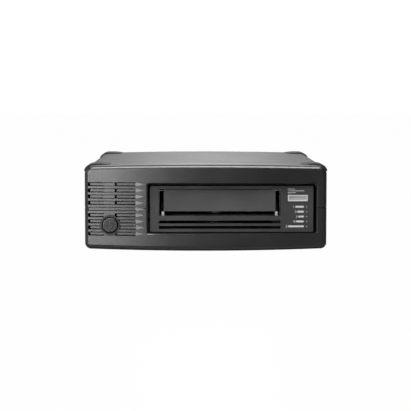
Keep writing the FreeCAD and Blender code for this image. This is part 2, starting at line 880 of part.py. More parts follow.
def switch_legs(y0, y1):
    """The switch's two legs, or the slots that they stand in."""
    z1 = power_z - SWITCH_LEG_REACH + SWITCH_LEG
    half = SWITCH_LEG / 2
    legs = []
    for x in (power_x - SWITCH_LEG_REACH, power_x + SWITCH_LEG_REACH):
        legs.append(box(x - half, x + half, y0, y1, z1 - SWITCH_LEG, z1))
    return legs


def make_power_switch():
    y0 = power_switch_y()
    y1 = y0 + SWITCH_L
    half = SWITCH_SIZE / 2
    body = box(power_x - half, power_x + half, y0, y1, power_z - half, power_z + half)
    bore = rod_y(PLUNGER_R + SHAFT_FIT, y0 - 1, y0 + SWITCH_SINK + POWER_TRAVEL + RUN_GAP,
                 power_x, power_z)
    body = round_edges(body, 0.8, "y").cut(bore)
    return one_solid(body.fuse(switch_legs(y1, y1 + BOARD_T + 1)))


def make_power_spring():
    y0 = collar_back + RUN_GAP + FLANGE_T + SPRING_WIRE_R + SPRING_END_GAP
    y1 = power_switch_y() - SPRING_WIRE_R - SPRING_END_GAP
    height = y1 - y0
    r = SPRING_R
    w = SPRING_WIRE_R
    helix = Part.makeHelix(height / SPRING_TURNS, height, r)
    corners = [(r - w, 0, -w), (r + w, 0, -w), (r + w, 0, w), (r - w, 0, w), (r - w, 0, -w)]
    section = Part.makePolygon([Vector(*p) for p in corners])
    coil = Part.Wire(helix).makePipeShell([section], True, True)
    coil.rotate(Vector(0, 0, 0), Vector(1, 0, 0), -90)
    coil.translate(Vector(power_x, y0, power_z))
    return coil


def make_switch_board():
    """The small board behind the power switch, which stands on the floor of the case."""
    y0 = power_switch_y() + SWITCH_L
    half = SWITCH_SIZE + 1
    board = box(power_x - half, power_x + half, y0, y0 + BOARD_T,
                belly_z(power_x) + WALL + RUN_GAP, power_z + half - 2)
    return board.cut(switch_legs(y0 - 1, y0 + BOARD_T + 1))


# Rear panel and fan

def make_rear_panel():
    """A steel sheet with the fan's finger guard, the inlet and the port windows."""
    panel = box(
        -half_w + PANEL_BORDER - PANEL_LAP,
        half_w - PANEL_BORDER + PANEL_LAP,
        panel_y0,
        panel_y1,
        case_bottom + PANEL_BORDER_Z - PANEL_LAP,
        case_top - PANEL_BORDER_Z + PANEL_LAP,
    )
    y0 = panel_y0 - 1
    y1 = panel_y1 + 1
    for i in range(GUARD_RINGS):
        outer = FAN_SIZE / 2 - GUARD_FROM_EDGE - i * GUARD_PITCH
        ring = rod_y(outer, y0, y1, fan_x, fan_z).cut(
            rod_y(outer - GUARD_SLOT, y0, y1, fan_x, fan_z))
        for angle in (45, 135):
            web = box(fan_x - FAN_SIZE, fan_x + FAN_SIZE, y0, y1, fan_z - GUARD_WEB / 2,
                      fan_z + GUARD_WEB / 2)
            web.rotate(Vector(fan_x, 0, fan_z), Vector(0, 1, 0), angle)
            ring = ring.cut(web)
        panel = panel.cut(ring)
    for x, z in fan_holes():
        panel = panel.cut(rod_y(FAN_HOLE_R + SCREW_SLACK, y0, y1, x, z))
    panel = panel.cut(inlet_shape(INLET_W + 0.4, INLET_H + 0.4, y0, y1))
    for x in inlet_screw_x():
        panel = panel.cut(rod_y(SCREW_R + SCREW_SLACK, y0, y1, x, inlet_z()))
    for x in port_x():
        window = plate_xz(x - PORT_W / 2 - PORT_FIT, x + PORT_W / 2 + PORT_FIT,
                          port_z() - PORT_FIT, port_z() + PORT_H + PORT_FIT, y0, y1, 0.5)
        panel = panel.cut(window)
    return panel


def fan_holes():
    reach = FAN_SIZE / 2 - FAN_HOLE_INSET
    return [(fan_x + sx * reach, fan_z + sz * reach) for sx in (-1, 1) for sz in (-1, 1)]


def inlet_x():
    return half_w - INLET_FROM_SIDE


def inlet_z():
    return fan_z


def inlet_screw_x():
    return (inlet_x() - INLET_SCREW_REACH, inlet_x() + INLET_SCREW_REACH)


def port_x():
    x = half_w - PORT_FROM_SIDE
    return (x, x + PORT_PITCH)


def port_z():
    return fan_z - PORT_H / 2


def make_fan_frame():
    y1 = panel_y0
    y0 = y1 - FAN_T
    half = FAN_SIZE / 2
    frame = plate_xz(fan_x - half, fan_x + half, fan_z - half, fan_z + half, y0, y1,
                     FAN_CORNER_R)
    waist = plate_xz(fan_x - half - 1, fan_x + half + 1, fan_z - half - 1, fan_z + half + 1,
                     y0 + FAN_FLANGE_T, y1 - FAN_FLANGE_T, FAN_CORNER_R)
    keep = rod_y(half - 0.2, y0 + 3, y1 - 3, fan_x, fan_z)
    frame = frame.cut(waist.cut(keep))
    frame = frame.cut(rod_y(half - FAN_RING_WALL, y0 - 1, y1 + 1, fan_x, fan_z))
    for x, z in fan_holes():
        frame = frame.cut(rod_y(FAN_HOLE_R, y0 - 1, y1 + 1, x, z))
    struts = []
    for turn in (45, 135, 225, 315):
        strut = box(fan_x + FAN_HUB_R - 2, fan_x + half - FAN_RING_WALL / 2 - 0.05, y0,
                    y0 + FAN_STRUT_T, fan_z - FAN_STRUT_W / 2, fan_z + FAN_STRUT_W / 2)
        strut.rotate(Vector(fan_x, 0, fan_z), Vector(0, 1, 0), turn + FAN_STRUT_TURN)
        struts.append(strut)
    cup = rod_y(FAN_HUB_R, y0, y0 + FAN_CUP_T, fan_x, fan_z)
    shaft = rod_y(SHAFT_R, y0 + 2, y1 - 5, fan_x, fan_z)
    stator = rod_y(FAN_HUB_R - 4, y0 + 2, y1 - 9, fan_x, fan_z)
    return one_solid(frame.fuse(struts + [cup, shaft, stator]).removeSplitter())


def make_fan_rotor():
    """A cupped hub with swept blades."""
    y0 = panel_y0 - FAN_T + FAN_CUP_T + 2 * RUN_GAP
    y1 = panel_y0 - 3.5
    hub = rod_y(FAN_HUB_R, y0, y1, fan_x, fan_z)
    well = rod_y(FAN_HUB_R - FAN_HUB_WALL, y0 - 1, y1 - 3, fan_x, fan_z)
    bore = rod_y(SHAFT_R + SHAFT_FIT, y0 - 1, y1 - 1, fan_x, fan_z)
    tip = FAN_SIZE / 2 - FAN_RING_WALL - FAN_TIP_GAP
    hub = hub.cut(well).cut(bore)
    blades = []
    for i in range(FAN_BLADES):
        sections = []
        for r, twist in ((FAN_HUB_R - 1, FAN_TWIST_ROOT), (tip + 2, FAN_TWIST_TIP)):
            slope = math.tan(math.radians(twist))
            run = (y1 - y0 - 3) / 2
            reach = run / max(slope, 0.4) * 0.55
            outline = [
                (r, -run, -reach),
                (r, -run + 1.1, -reach + 0.3),
                (r, run, reach),
                (r, run - 1.1, reach - 0.3),
            ]
            sections.append(Part.makePolygon([Vector(*p) for p in outline + outline[:1]]))
        blade = Part.makeLoft(sections, True, True).common(rod_y(tip, -FAN_T, FAN_T, 0, 0))
        blade.translate(Vector(fan_x, (y0 + y1) / 2, fan_z))
        blade.rotate(Vector(fan_x, 0, fan_z), Vector(0, 1, 0), 360 / FAN_BLADES * i)
        blades.append(blade)
    return one_solid(hub.fuse(blades))


def make_fan_screws():
    screws = []
    for x, z in fan_holes():
        shank = rod_y(FAN_SCREW_R, panel_y1 - FAN_SCREW_L, panel_y1 + 0.1, x, z)
        head = Part.makeCone(FAN_SCREW_HEAD_R, FAN_SCREW_HEAD_R - 1, FAN_SCREW_HEAD_T,
                             Vector(x, panel_y1, z), Vector(0, 1, 0))
        slot = box(x - 2, x + 2, panel_y1 + 0.8, panel_y1 + 3, z - 0.4, z + 0.4)
        cross = box(x - 0.4, x + 0.4, panel_y1 + 0.8, panel_y1 + 3, z - 2, z + 2)
        screws.append(shank.fuse(head).cut([slot, cross]))
    return screws


# Mains inlet and ports

def inlet_shape(w, h, y0, y1):
    """A C14 outline: a rectangle with its two lower corners cut off."""
    x = inlet_x()
    z = inlet_z()
    cut = h * INLET_CORNER
    outline = [
        (x - w / 2, z + h / 2),
        (x - w / 2, z - h / 2 + cut),
        (x - w / 2 + cut, z - h / 2),
        (x + w / 2 - cut, z - h / 2),
        (x + w / 2, z - h / 2 + cut),
        (x + w / 2, z + h / 2),
    ]
    return bar_y(outline, y0, y1)


def make_mains_inlet():
    y1 = panel_y1
    y0 = y1 - INLET_L
    body = inlet_shape(INLET_W, INLET_H, y0, y1 + 0.5)
    half_w_ear = INLET_EAR_W / 2
    half_h_ear = INLET_EAR_H / 2
    ears = plate_xz(inlet_x() - half_w_ear, inlet_x() + half_w_ear, inlet_z() - half_h_ear,
                    inlet_z() + half_h_ear, y1, y1 + INLET_EAR_T, INLET_EAR_R)
    well = inlet_shape(INLET_W - 2 * INLET_WALL, INLET_H - 2 * INLET_WALL, y0 + INLET_BACK_T,
                       y1 + 5)
    inlet = body.fuse(ears).cut(well)
    for x in inlet_screw_x():
        inlet = inlet.cut(rod_y(SCREW_R + SCREW_SLACK, y1 - 1, y1 + 5, x, inlet_z()))
    for x, z in pin_spots():
        inlet = inlet.cut(pin_bar(x, z, y0 - 1, y0 + INLET_BACK_T + 1))
    return one_solid(inlet.removeSplitter())


def pin_spots():
    x = inlet_x()
    z = inlet_z()
    low = z - PIN_STAGGER
    return [(x - PIN_SPREAD, low), (x, z + PIN_STAGGER), (x + PIN_SPREAD, low)]


def pin_bar(x, z, y0, y1):
    return box(x - PIN_W / 2, x + PIN_W / 2, y0, y1, z - PIN_H / 2, z + PIN_H / 2)


def make_inlet_pins():
    y0 = panel_y1 - INLET_L - PIN_TAIL
    return [pin_bar(x, z, y0, panel_y1 - PIN_SET_IN) for x, z in pin_spots()]


def make_inlet_screws():
    screws = []
    y = panel_y1 + INLET_EAR_T
    for x in inlet_screw_x():
        shank = rod_y(SCREW_R, panel_y0 - 4, y, x, inlet_z())
        nut = bar_y(hexagon(NUT_R, x, inlet_z()), panel_y0 - NUT_T, panel_y0)
        head = Part.makeCone(SCREW_HEAD_R, SCREW_HEAD_R - 1, INLET_HEAD_T,
                             Vector(x, y, inlet_z()), Vector(0, 1, 0))
        slot = box(x - 2, x + 2, y + INLET_HEAD_T / 2, y + 3, inlet_z() - 0.35,
                   inlet_z() + 0.35)
        screws.append(shank.fuse([nut, head]).cut(slot))
    return screws


def make_port_cages():
    cages = []
    wall = PORT_WALL
    for x in port_x():
        z0 = port_z()
        outer = box(x - PORT_W / 2, x + PORT_W / 2, panel_y1 - PORT_L, panel_y1 + PORT_PROUD,
                    z0, z0 + PORT_H)
        inner = box(x - PORT_W / 2 + wall, x + PORT_W / 2 - wall, panel_y1 - PORT_L + 1,
                    panel_y1 + 5, z0 + wall, z0 + PORT_H - wall)
        cages.append(outer.cut(inner))
    return cages


def make_port_contacts():
    blades = []
    for x in port_x():
        z = port_z() + PORT_H / 2
        y1 = panel_y1 - TONGUE_SET_IN
        tongue = box(x - TONGUE_W / 2, x + TONGUE_W / 2, y1 - TONGUE_L, y1, z - TONGUE_T / 2,
                     z + TONGUE_T / 2)
        block = box(x - TONGUE_BLOCK_W / 2, x + TONGUE_BLOCK_W / 2, panel_y1 - PORT_L + 1,
                    y1 - TONGUE_L + 1, z - TONGUE_BLOCK_H / 2, z + TONGUE_BLOCK_H / 2)
        blades.append(tongue.fuse(block))
    return blades


def make_port_board():
    x0, x1 = port_x()
    z1 = port_z()
    y0 = port_board_y0()
    board = box(x0 - PORT_BOARD_PAST, x1 + PORT_BOARD_PAST, y0, y0 + PORT_BOARD_L, z1 - BOARD_T,
                z1)
    plug = box(*ribbon_span(), y0, y0 + PLUG_L, z1, z1 + PLUG_H)
    return board.fuse(plug)


def port_board_y0():
    return panel_y0 - PORT_BOARD_GAP - PORT_BOARD_L


def ribbon_span():
    x0 = port_x()[0] - RIBBON_FROM_PORT
    return (x0, x0 + RIBBON_W)


def make_port_brackets():
    """Angle brackets that hang the port board from the rear panel."""
    x0, x1 = port_x()
    z1 = port_z() - BOARD_T
    brackets = []
    t = BRACKET_T
    for x in (x0 - PORT_BOARD_PAST, x1 + PORT_BOARD_PAST - BRACKET_W):
        outline = [
            (panel_y0, z1),
            (panel_y0, z1 - BRACKET_DROP),
            (panel_y0 - t, z1 - BRACKET_DROP),
            (panel_y0 - t, z1 - t),
            (panel_y0 - BRACKET_REACH, z1 - t),
            (panel_y0 - BRACKET_REACH, z1),
        ]
        brackets.append(bar_x(outline, x, x + BRACKET_W))
    return brackets


# Mains supply

def make_supply_board():
    board = box(supply_x0, supply_x1, supply_y0, supply_y1, supply_z, supply_z + BOARD_T)
    for x, y in supply_posts():
        board = board.cut(rod_z(SCREW_R + SCREW_SLACK, supply_z - 1, supply_z + 3, x, y))
    return board


def make_supply_screws():
    screws = []
    z = supply_z + BOARD_T
    for x, y in supply_posts():
        head = rod_z(SCREW_HEAD_R, z, z + 1.8, x, y)
        shank = rod_z(SCREW_R - 0.05, z - 7, z, x, y)
        screws.append(head.fuse(shank))
    return screws


def supply_mid():
    return (supply_x0 + supply_x1) / 2


def make_transformer():
    """A ferrite core pair round a taped coil on its bobbin."""
    x = supply_mid()
    y = (supply_y0 + supply_y1) / 2
    z = supply_z + BOARD_T
    half = CORE_W / 2
    y0 = y - CORE_L / 2
    y1 = y + CORE_L / 2
    core = box(x - half, x + half, y - CORE_L / 4, y + CORE_L / 4, z + CORE_LIFT, z + CORE_H)
    coil = plate_xy(x - half + COIL_INSET, x + half - COIL_INSET, y0, y1, z + COIL_Z0,
                    z + CORE_H - COIL_FROM_TOP, COIL_R)
    foot = box(x - half + BOBBIN_INSET, x + half - BOBBIN_INSET, y0, y1, z, z + BOBBIN_T)
    return one_solid(core.fuse([coil, foot]).removeSplitter())


def make_capacitors():
    z = supply_z + BOARD_T
    x = supply_x0 + BIG_CAN_FROM_SIDE
    y0 = supply_y0 + BIG_CAN_FROM_FRONT
    spots = [(x, y, BIG_CAN_R, BIG_CAN_H) for y in (y0, y0 + BIG_CAN_PITCH)]
    x = supply_x1 - SMALL_CAN_FROM_SIDE
    for i in range(SMALL_CANS):
        y = supply_y1 - SMALL_CAN_FROM_REAR - SMALL_CAN_PITCH * i
        spots.append((x, y, SMALL_CAN_R, SMALL_CAN_H))
    cans = []
    for x, y, r, h in spots:
        can = rod_z(r, z, z + h, x, y)
        groove = rod_z(r + 1, z + 2.5, z + 3.5, x, y).cut(rod_z(r - 0.5, z + 2, z + 4, x, y))
        cans.append(can.cut(groove))
    return cans


def make_heatsinks():
    """Two finned aluminium extrusions that stand along the board."""
    z = supply_z + BOARD_T
    sinks = []
    pitch = SINK_L / SINK_FINS
    for x, y, side in ((supply_x1 - 8, supply_y0 + 16, -1), (supply_x0 + 3, supply_y1 - 52, 1)):
        tip = x - side * SINK_REACH
        web = x - side * SINK_WEB
        outline = [(x, y), (x, y + SINK_L)]
        for i in range(SINK_FINS):
            a = y + SINK_L - i * pitch
            outline += [(tip, a), (tip, a - SINK_FIN_T)]
            if i < SINK_FINS - 1:
                outline += [(web, a - SINK_FIN_T), (web, a - pitch)]
        sinks.append(bar_z(outline, z, z + SINK_H))
    return sinks


def make_choke():
    z = supply_z + BOARD_T
    x = supply_x0 + CHOKE_FROM_SIDE
    y = (supply_y0 + supply_y1) / 2 + CORE_L / 2 + CHOKE_FROM_CORE
    facets = 8
    turns = [2 * math.pi * (i + 0.5) / facets for i in range(facets)]
    r = CHOKE_WIRE_R / math.cos(math.pi / facets)
    section = []
    for t in turns:
        section.append((x + CHOKE_R + r * math.cos(t), y, z + CHOKE_WIRE_R + r * math.sin(t)))
    return closed_face(section).revolve(Vector(x, y, z), Vector(0, 0, 1), 360)


# Leads inside the case

def make_inlet_lead():
    x, z = pin_spots()[0]
    y = panel_y1 - INLET_L - PIN_TAIL
    end_x = supply_x1 - 11
    end_y = supply_y1 - 7
    return pipe([
        (x, y, z),
        (x, y - 9, z),
        (x - 14, y - 14, z - 4),
        (supply_x1 + 8, drive_y1 + 7, supply_z + 24),
        (end_x + 4, end_y + 6, supply_z + 22),
        (end_x, end_y, supply_z + 14),
        (end_x, end_y, supply_z + BOARD_T),
    ], LEAD_R)


def make_data_ribbon():
    """A flat lead in an easy S between the drive's connector and the port board."""
    y0 = drive_y1 + 6.5
    z0 = connector_z() + 3
    y1 = port_board_y0()
    z1 = port_z() + PLUG_H / 2
    mid = (y0 + y1) / 2
    z_mid = (z0 + z1) / 2

    def strip_edge(dz):
        rise = (z1 - z0) / 2
        first = Part.BezierCurve()
        first.setPoles([
            Vector(0, y0, z0 + dz),
            Vector(0, mid, z0 + dz),
            Vector(0, mid, z_mid + rise + dz),
            Vector(0, y1, z1 + dz),
        ])
        return first.toShape()

    half = RIBBON_T / 2
    low = strip_edge(-half)
    high = strip_edge(half)
    ends = [
        Part.makeLine(Vector(0, y0, z0 - half), Vector(0, y0, z0 + half)),
        Part.makeLine(Vector(0, y1, z1 - half), Vector(0, y1, z1 + half)),
    ]
    face = Part.Face(Part.Wire(Part.sortEdges([low, ends[1], high, ends[0]])[0]))
    strip = face.extrude(Vector(RIBBON_W, 0, 0))
    strip.translate(Vector(ribbon_span()[0], 0, 0))
    return strip


# Drive chassis

def connector_z():
    return deck_z + 5


def make_drive_base():
    """A die-cast tray with a spout at the front and a board ledge at the back."""
    base = box(base_x0, base_x1, drive_y0, drive_y1, drive_z0, base_top)
    hollow = plate_xy(base_x0 + DRIVE_WALL, base_x1 - DRIVE_WALL, drive_y0 - 10,
                      drive_y1 - DRIVE_WALL, deck_z, base_top + 1, 2.0)
    base = base.cut(hollow)
    x0, x1 = ribbon_span()
    base = base.cut(box(x0 - 1, x1 + 1, drive_y1 - 5, drive_y1 + 1, connector_z() - 0.5,
                        connector_z() + 6.5))
    for x in (base_x0, base_x1):
        for y in side_screw_y():
            base = base.cut(rod_x(SCREW_R, x - 4, x + 4, y, rail_screw_z()))
    posts = []
    for x, y in board_posts():
        posts.append(rod_z(BOARD_POST_R, deck_z, board_z(), x, y))
    posts += carriage_runners()
    for x, y in roller_spots():
        posts.append(rod_z(ROLLER_BOSS_R, deck_z, tape_z0 - ROLLER_FLANGE_T - RUN_GAP, x, y))
    return one_solid(base.fuse(posts).removeSplitter())


def side_screw_y():
    return [drive_y0 + reach for reach in RAIL_SCREW_Y]


def rail_screw_z():
    return drive_z0 + RAIL_SCREW_RISE


def board_z():
    return cartridge_z0 + CARTRIDGE_H + BOARD_CLEAR


def board_posts():
    inset = DRIVE_WALL + BOARD_POST_INSET
    y1 = drive_y1 - inset
    y0 = reel_y - REEL_R - 1
    return [(base_x0 + inset, y0), (base_x0 + inset, y1), (base_x1 - inset, y0),
            (base_x1 - inset, y1)]


def carriage_runners():
    """Two low runners with an outer lip, which the carriage slides on."""
    runners = []
    z1 = carriage_floor_z0 - RUN_GAP
    y0 = carriage_y0 + RUNNER_START
    y1 = carriage_y1 + CARRIAGE_STROKE - 2
    for x, side in ((carriage_x0, 1), (carriage_x1, -1)):
        inner = x + side * RUNNER_W
        lip = x - side * RUN_GAP
        outer = lip - side * RUNNER_LIP_T
        top = z1 + RUNNER_LIP_H
        outline = [(inner, deck_z), (inner, z1), (lip, z1), (lip, top), (outer, top),
                   (outer, deck_z)]
        runners.append(bar_y(outline, y0, y1))
    return runners


def make_drive_cover():
    """A folded steel lid whose side flanges lap over the tray."""
    lid = box(drive_x0, drive_x1, drive_y0, drive_y1, drive_z1 - FLANGE_LAP, drive_z1)
    lid = round_edges(lid, 0.8, "y")
    inside = box(base_x0, base_x1, drive_y0 - 1, drive_y1 + 1, drive_z1 - 20, base_top)
    lid = lid.cut(inside)
    x0 = slot_mid - EMBOSS_W / 2
    x1 = slot_mid + EMBOSS_W / 2
    y0 = drive_y0 + EMBOSS_FROM_FRONT
    y1 = y0 + EMBOSS_L
    low = drive_z1 - EMBOSS_DEPTH
    land = EMBOSS_LAND
    emboss = plate_xy(x0, x1, y0, y1, base_top - 1, low, EMBOSS_R)
    panel = plate_xy(x0 + land, x1 - land, y0 + land, y1 - land, low, drive_z1 + 1,
                     EMBOSS_R - land)
    lid = lid.cut(panel)
    ys = (drive_y0 + COVER_HOLE_FROM_END, drive_y0 + COVER_HOLE_MID,
          drive_y1 - COVER_HOLE_FROM_END)
    for x in (drive_x0 + COVER_HOLE_INSET, drive_x1 - COVER_HOLE_INSET):
        for y in ys:
            lid = lid.cut(rod_z(COVER_HOLE_R, base_top - 1, drive_z1 + 1, x, y))
    return one_solid(lid.common(lid.fuse(emboss)))


def make_drive_rails():
    """Steel angle rails screwed to the drive's sides and stood on the case floor."""
    rails = []
    t = RAIL_T
    for x, side in ((drive_x0, -1), (drive_x1, 1)):
        z0 = rail_z()
        z1 = drive_z0 + RAIL_LAP
        out = x + side * t
        foot = x - side * RAIL_FOOT
        outline = [(x, z1), (out, z1), (out, z0), (foot, z0), (foot, z0 + t), (x, z0 + t)]
        rail = bar_y(outline, drive_y0 + RAIL_FROM_END, drive_y1 - RAIL_FROM_END)
        for y in side_screw_y():
            rail = rail.cut(rod_x(SCREW_R + SCREW_SLACK, x - 4, x + 4, y, rail_screw_z()))
        rails.append(rail)
    return rails


def make_rail_screws():
    screws = []
    for x, side in ((drive_x0, -1), (drive_x1, 1)):
        for y in side_screw_y():
            out = x + side * RAIL_T
            inner = x - side * RAIL_SCREW_BITE
            x0, x1 = sorted((inner, out))
            shank = rod_x(SCREW_R - 0.05, x0, x1, y, rail_screw_z())
            x0, x1 = sorted((out, out + side * RAIL_SCREW_HEAD_T))
            screws.append(shank.fuse(rod_x(SCREW_HEAD_R, x0, x1, y, rail_screw_z())))
    return screws


# Bezel, door, eject button and lamps

def vent_z(i):
    return bezel_z0 + VENT_FROM_BOTTOM + VENT_PITCH * i


def button_span():
    x1 = bezel_x1 - BUTTON_FROM_RIGHT
    z0 = bezel_z0 + BUTTON_FROM_BOTTOM
    return x1 - BUTTON_W, x1, z0, z0 + BUTTON_H


def lamp_spots():
    x = bezel_x1 - LAMP_FROM_RIGHT
    return [(x, bezel_z0 + LAMP_FROM_BOTTOM + LAMP_PITCH * i) for i in range(LAMP_COUNT)]


def make_bezel():
    """A moulded front: a thin face on a rim, with a throat round the cartridge slot."""
    bezel = plate_xz(bezel_x0, bezel_x1, bezel_z0, bezel_z1, bezel_y0, bezel_y1, BEZEL_R)
    rim = [e for e in bezel.Edges if e.BoundBox.YMax < bezel_y0 + 0.01]
    bezel = bezel.makeFillet(BEZEL_RIM_R, rim)
    wall = BEZEL_RIM_T
    back = plate_xz(bezel_x0 + wall, bezel_x1 - wall, bezel_z0 + wall, bezel_z1 - wall,
                    bezel_y0 + BEZEL_WALL, bezel_y1 + 1, BEZEL_R)
    throat = box(slot_x0 - wall, slot_x1 + wall, bezel_y0, bezel_y1 + THROAT_PAST,
                 slot_z0 - wall, slot_z1)
    sill = box(slot_x0 - wall, slot_x1 + wall, bezel_y0, bezel_y1, vent_z(0) - wall, slot_z0)
    bezel = bezel.cut(back.cut([throat, sill]))
    for i in range(2):
        vent = plate_xz(slot_x0, slot_x1, vent_z(i), vent_z(i) + VENT_H, bezel_y0 - 1,
                        bezel_y1 + 1, VENT_R)
        bezel = bezel.cut(vent)
    bezel = bezel.cut(box(slot_x0, slot_x1, bezel_y0 - 1, bezel_y1 + 3, slot_z0, slot_z1))
    for x in (slot_x0 + DIP_FROM_LEFT, slot_x0 + DIP_FROM_LEFT + DIP_PITCH):
        dip = rod_y(DIP_R, bezel_y0 - 1, bezel_y0 + BEZEL_WALL, x, slot_z0 - DIP_DEPTH + DIP_R)
        bezel = bezel.cut(dip)
    x0, x1, z0, z1 = button_span()
    bezel = bezel.cut(box(x0 - BUTTON_FIT, x1 + BUTTON_FIT, bezel_y0 - 1, bezel_y1 + 1,
                          z0 - BUTTON_FIT, z1 + BUTTON_FIT))
    for x, z in lamp_spots():
        bezel = bezel.cut(rod_y(LAMP_R + SHAFT_FIT, bezel_y0 - 1, bezel_y1 + 1, x, z))
    bezel = bezel.cut(rod_x(DOOR_PIN_R + PIN_FIT, slot_x0 - PIN_SEAT, slot_x1 + PIN_SEAT,
                            door_axis_y, door_axis_z))
    return one_solid(bezel.removeSplitter())


def make_door():
    """A flap hung from its top edge, with a stiffening rib along the bottom."""
    y0 = door_axis_y - DOOR_T / 2
    y1 = door_axis_y + DOOR_T / 2
    z1 = door_axis_z
    z0 = z1 + DOOR_T / 2 - DOOR_H
    x0 = slot_mid - DOOR_W / 2
    x1 = slot_mid + DOOR_W / 2
    flap = box(x0, x1, y0, y1, z0, z1)
    barrel = rod_x(DOOR_T / 2, x0, x1, door_axis_y, door_axis_z)
    lip = bar_x([(y1, z0), (y1 + DOOR_RIB_T, z0 + 0.4), (y1, z0 + DOOR_RIB_H)],
                x0 + DOOR_RIB_INSET, x1 - DOOR_RIB_INSET)
    left = rod_x(DOOR_PIN_R, x0 - 1, x0 + DOOR_PIN_BITE, door_axis_y, door_axis_z)
    right = rod_x(DOOR_PIN_R, x1 - DOOR_PIN_BITE, x1 + 1, door_axis_y, door_axis_z)
    return one_solid(flap.fuse([barrel, lip]).cut([left, right]).removeSplitter())


def make_door_pins():
    x0 = slot_mid - DOOR_W / 2
    x1 = slot_mid + DOOR_W / 2
    start = slot_x0 - DOOR_PIN_PAST
    end = slot_x1 + DOOR_PIN_PAST
    return [
        rod_x(DOOR_PIN_R, start, x0 + DOOR_PIN_BITE, door_axis_y, door_axis_z),
        rod_x(DOOR_PIN_R, x1 - DOOR_PIN_BITE, end, door_axis_y, door_axis_z),
    ]


def make_eject_button():
    x0, x1, z0, z1 = button_span()
    y0 = bezel_y0 - BUTTON_PROUD
    back = bezel_y0 + BEZEL_WALL
    cap = box(x0, x1, y0, back + RUN_GAP, z0, z1)
    rim = BUTTON_RIM
    dish = plate_xz(x0 + rim + 0.1, x1 - rim - 0.1, z0 + rim, z1 - rim, y0 - 1,
                    y0 + BUTTON_DISH, 0.5)
    wide = BUTTON_FLANGE
    flange = box(x0 - wide, x1 + wide, back + RUN_GAP, back + RUN_GAP + BUTTON_FLANGE_T,
                 z0 - wide, z1 + wide)
    stem_x = (x0 + x1) / 2
    stem_z = (z0 + z1) / 2
    stem = rod_y(BUTTON_STEM_R, back, eject_stem_end(), stem_x, stem_z)
    return one_solid(cap.cut(dish).fuse([flange, stem]).removeSplitter())


def eject_stem_end():
    return bezel_y0 + BEZEL_WALL + RUN_GAP + BUTTON_STEM_L


def front_board_y():
    return eject_stem_end() + BUTTON_TRAVEL + 2.0


def make_light_pipes():
    return [rod_y(LAMP_R, bezel_y0 - 0.1, front_board_y() - 1.1, x, z) for x, z in lamp_spots()]


def make_front_board():
    x0 = button_span()[0] - 1
    x1 = base_x1 - DRIVE_WALL - RUN_GAP
    y = front_board_y()
    return box(x0, x1, y, y + BOARD_T, deck_z, base_top - 4)


def make_lamps():
    y = front_board_y()
    return [box(x - 0.8, x + 0.8, y - 1, y, z - 0.6, z + 0.6) for x, z in lamp_spots()]


def make_eject_switch():
    x0, x1, z0, z1 = button_span()
    x = (x0 + x1) / 2
    z = (z0 + z1) / 2
    y = front_board_y()
    body = box(x - 3, x + 3, y - 1.2, y, z - 3, z + 3)
    return body.fuse(rod_y(1.7, y - 1.8, y - 1, x, z))


# Cartridge carriage and its gears

def make_carriage():
    """A tray with sloped side walls, a window for the hub and a rack along its right wall."""
    floor = box(carriage_x0, carriage_x1, carriage_y0, carriage_y1, carriage_floor_z0,
                carriage_floor_z1)
    window = plate_xy(slot_mid - WINDOW_REACH, slot_mid + WINDOW_REACH,
                      hub_y - CARRIAGE_STROKE - WINDOW_REACH,
                      min(hub_y + WINDOW_REACH, carriage_y1 - 8), carriage_floor_z0 - 1,
                      carriage_floor_z1 + 1, WINDOW_R)
    left = box(carriage_x0, carriage_in_x0, carriage_y0, carriage_y1, carriage_floor_z0,
               carriage_top)
    right = box(carriage_in_x1, carriage_x1, carriage_y0, carriage_y1, carriage_floor_z0,
                carriage_top)
    back = box(carriage_in_x0 + 40, carriage_in_x1, carriage_y1 - CARRIAGE_WALL, carriage_y1,
               carriage_floor_z0, carriage_top)
    tip = bar_x([(carriage_y0, carriage_top), (carriage_y0 + CARRIAGE_LEAD, carriage_top),
                 (carriage_y0, carriage_top - CARRIAGE_LEAD)], carriage_x0 - 1, carriage_x1 + 1)
    tray = floor.cut(window).fuse([left.cut(tip), right.cut(tip), back, make_rack()])
    return one_solid(tray.removeSplitter())


def rack_z():
    return carriage_floor_z1 + RACK_RISE


def pinion_y():
    return drive_y0 + PINION_FROM_FRONT


def pitch_x():
    """The rack's pitch line."""
    return carriage_x1 + RACK_WEB + 1.25 * RACK_MODULE


def make_rack():
    pitch = math.pi * RACK_MODULE
    m = RACK_MODULE
    x = pitch_x()
    outline = []
    start = pinion_y() - 0.7 * RACK_TEETH * pitch
    for i in range(RACK_TEETH):
        y = start + (i + 0.5) * pitch
        outline += [
            (x - 1.25 * m, y - 1.05 * m),
            (x + m, y - 0.28 * m),
            (x + m, y + 0.28 * m),
            (x - 1.25 * m, y + 1.05 * m),
        ]
    end = start + RACK_TEETH * pitch
    outline = [(carriage_x1, start), (x - 1.25 * m, start)] + outline
    outline += [(x - 1.25 * m, end), (carriage_x1, end)]
    return bar_z(outline, rack_z(), rack_z() + RACK_T)


def gear(module, teeth, z0, z1, x, y, phase):
    """A spur gear; phase is the angle in degrees of one tooth's middle."""
    r = module * teeth / 2
    outline = []
    for i in range(teeth):
        mid = math.radians(phase) + 2 * math.pi * i / teeth
        root = r - 1.25 * module
        tip = r + module
        root_spread = 0.95 * module / root
        tip_spread = 0.28 * module / tip
        outline += [
            (root, mid - root_spread),
            (tip, mid - tip_spread),
            (tip, mid + tip_spread),
            (root, mid + root_spread),
        ]
    points = [(x + q * math.cos(a), y + q * math.sin(a)) for q, a in outline]
    return bar_z(points, z0, z1)


def load_gear_spot():
    return pitch_x() + RACK_MODULE * PINION_TEETH / 2, pinion_y()


def motor_spot():
    x, y = load_gear_spot()
    reach = GEAR_MODULE * (GEAR_TEETH + MOTOR_TEETH) / 2
    turn = math.radians(MESH_TURN)
    return x + reach * math.cos(turn), y + reach * math.sin(turn)


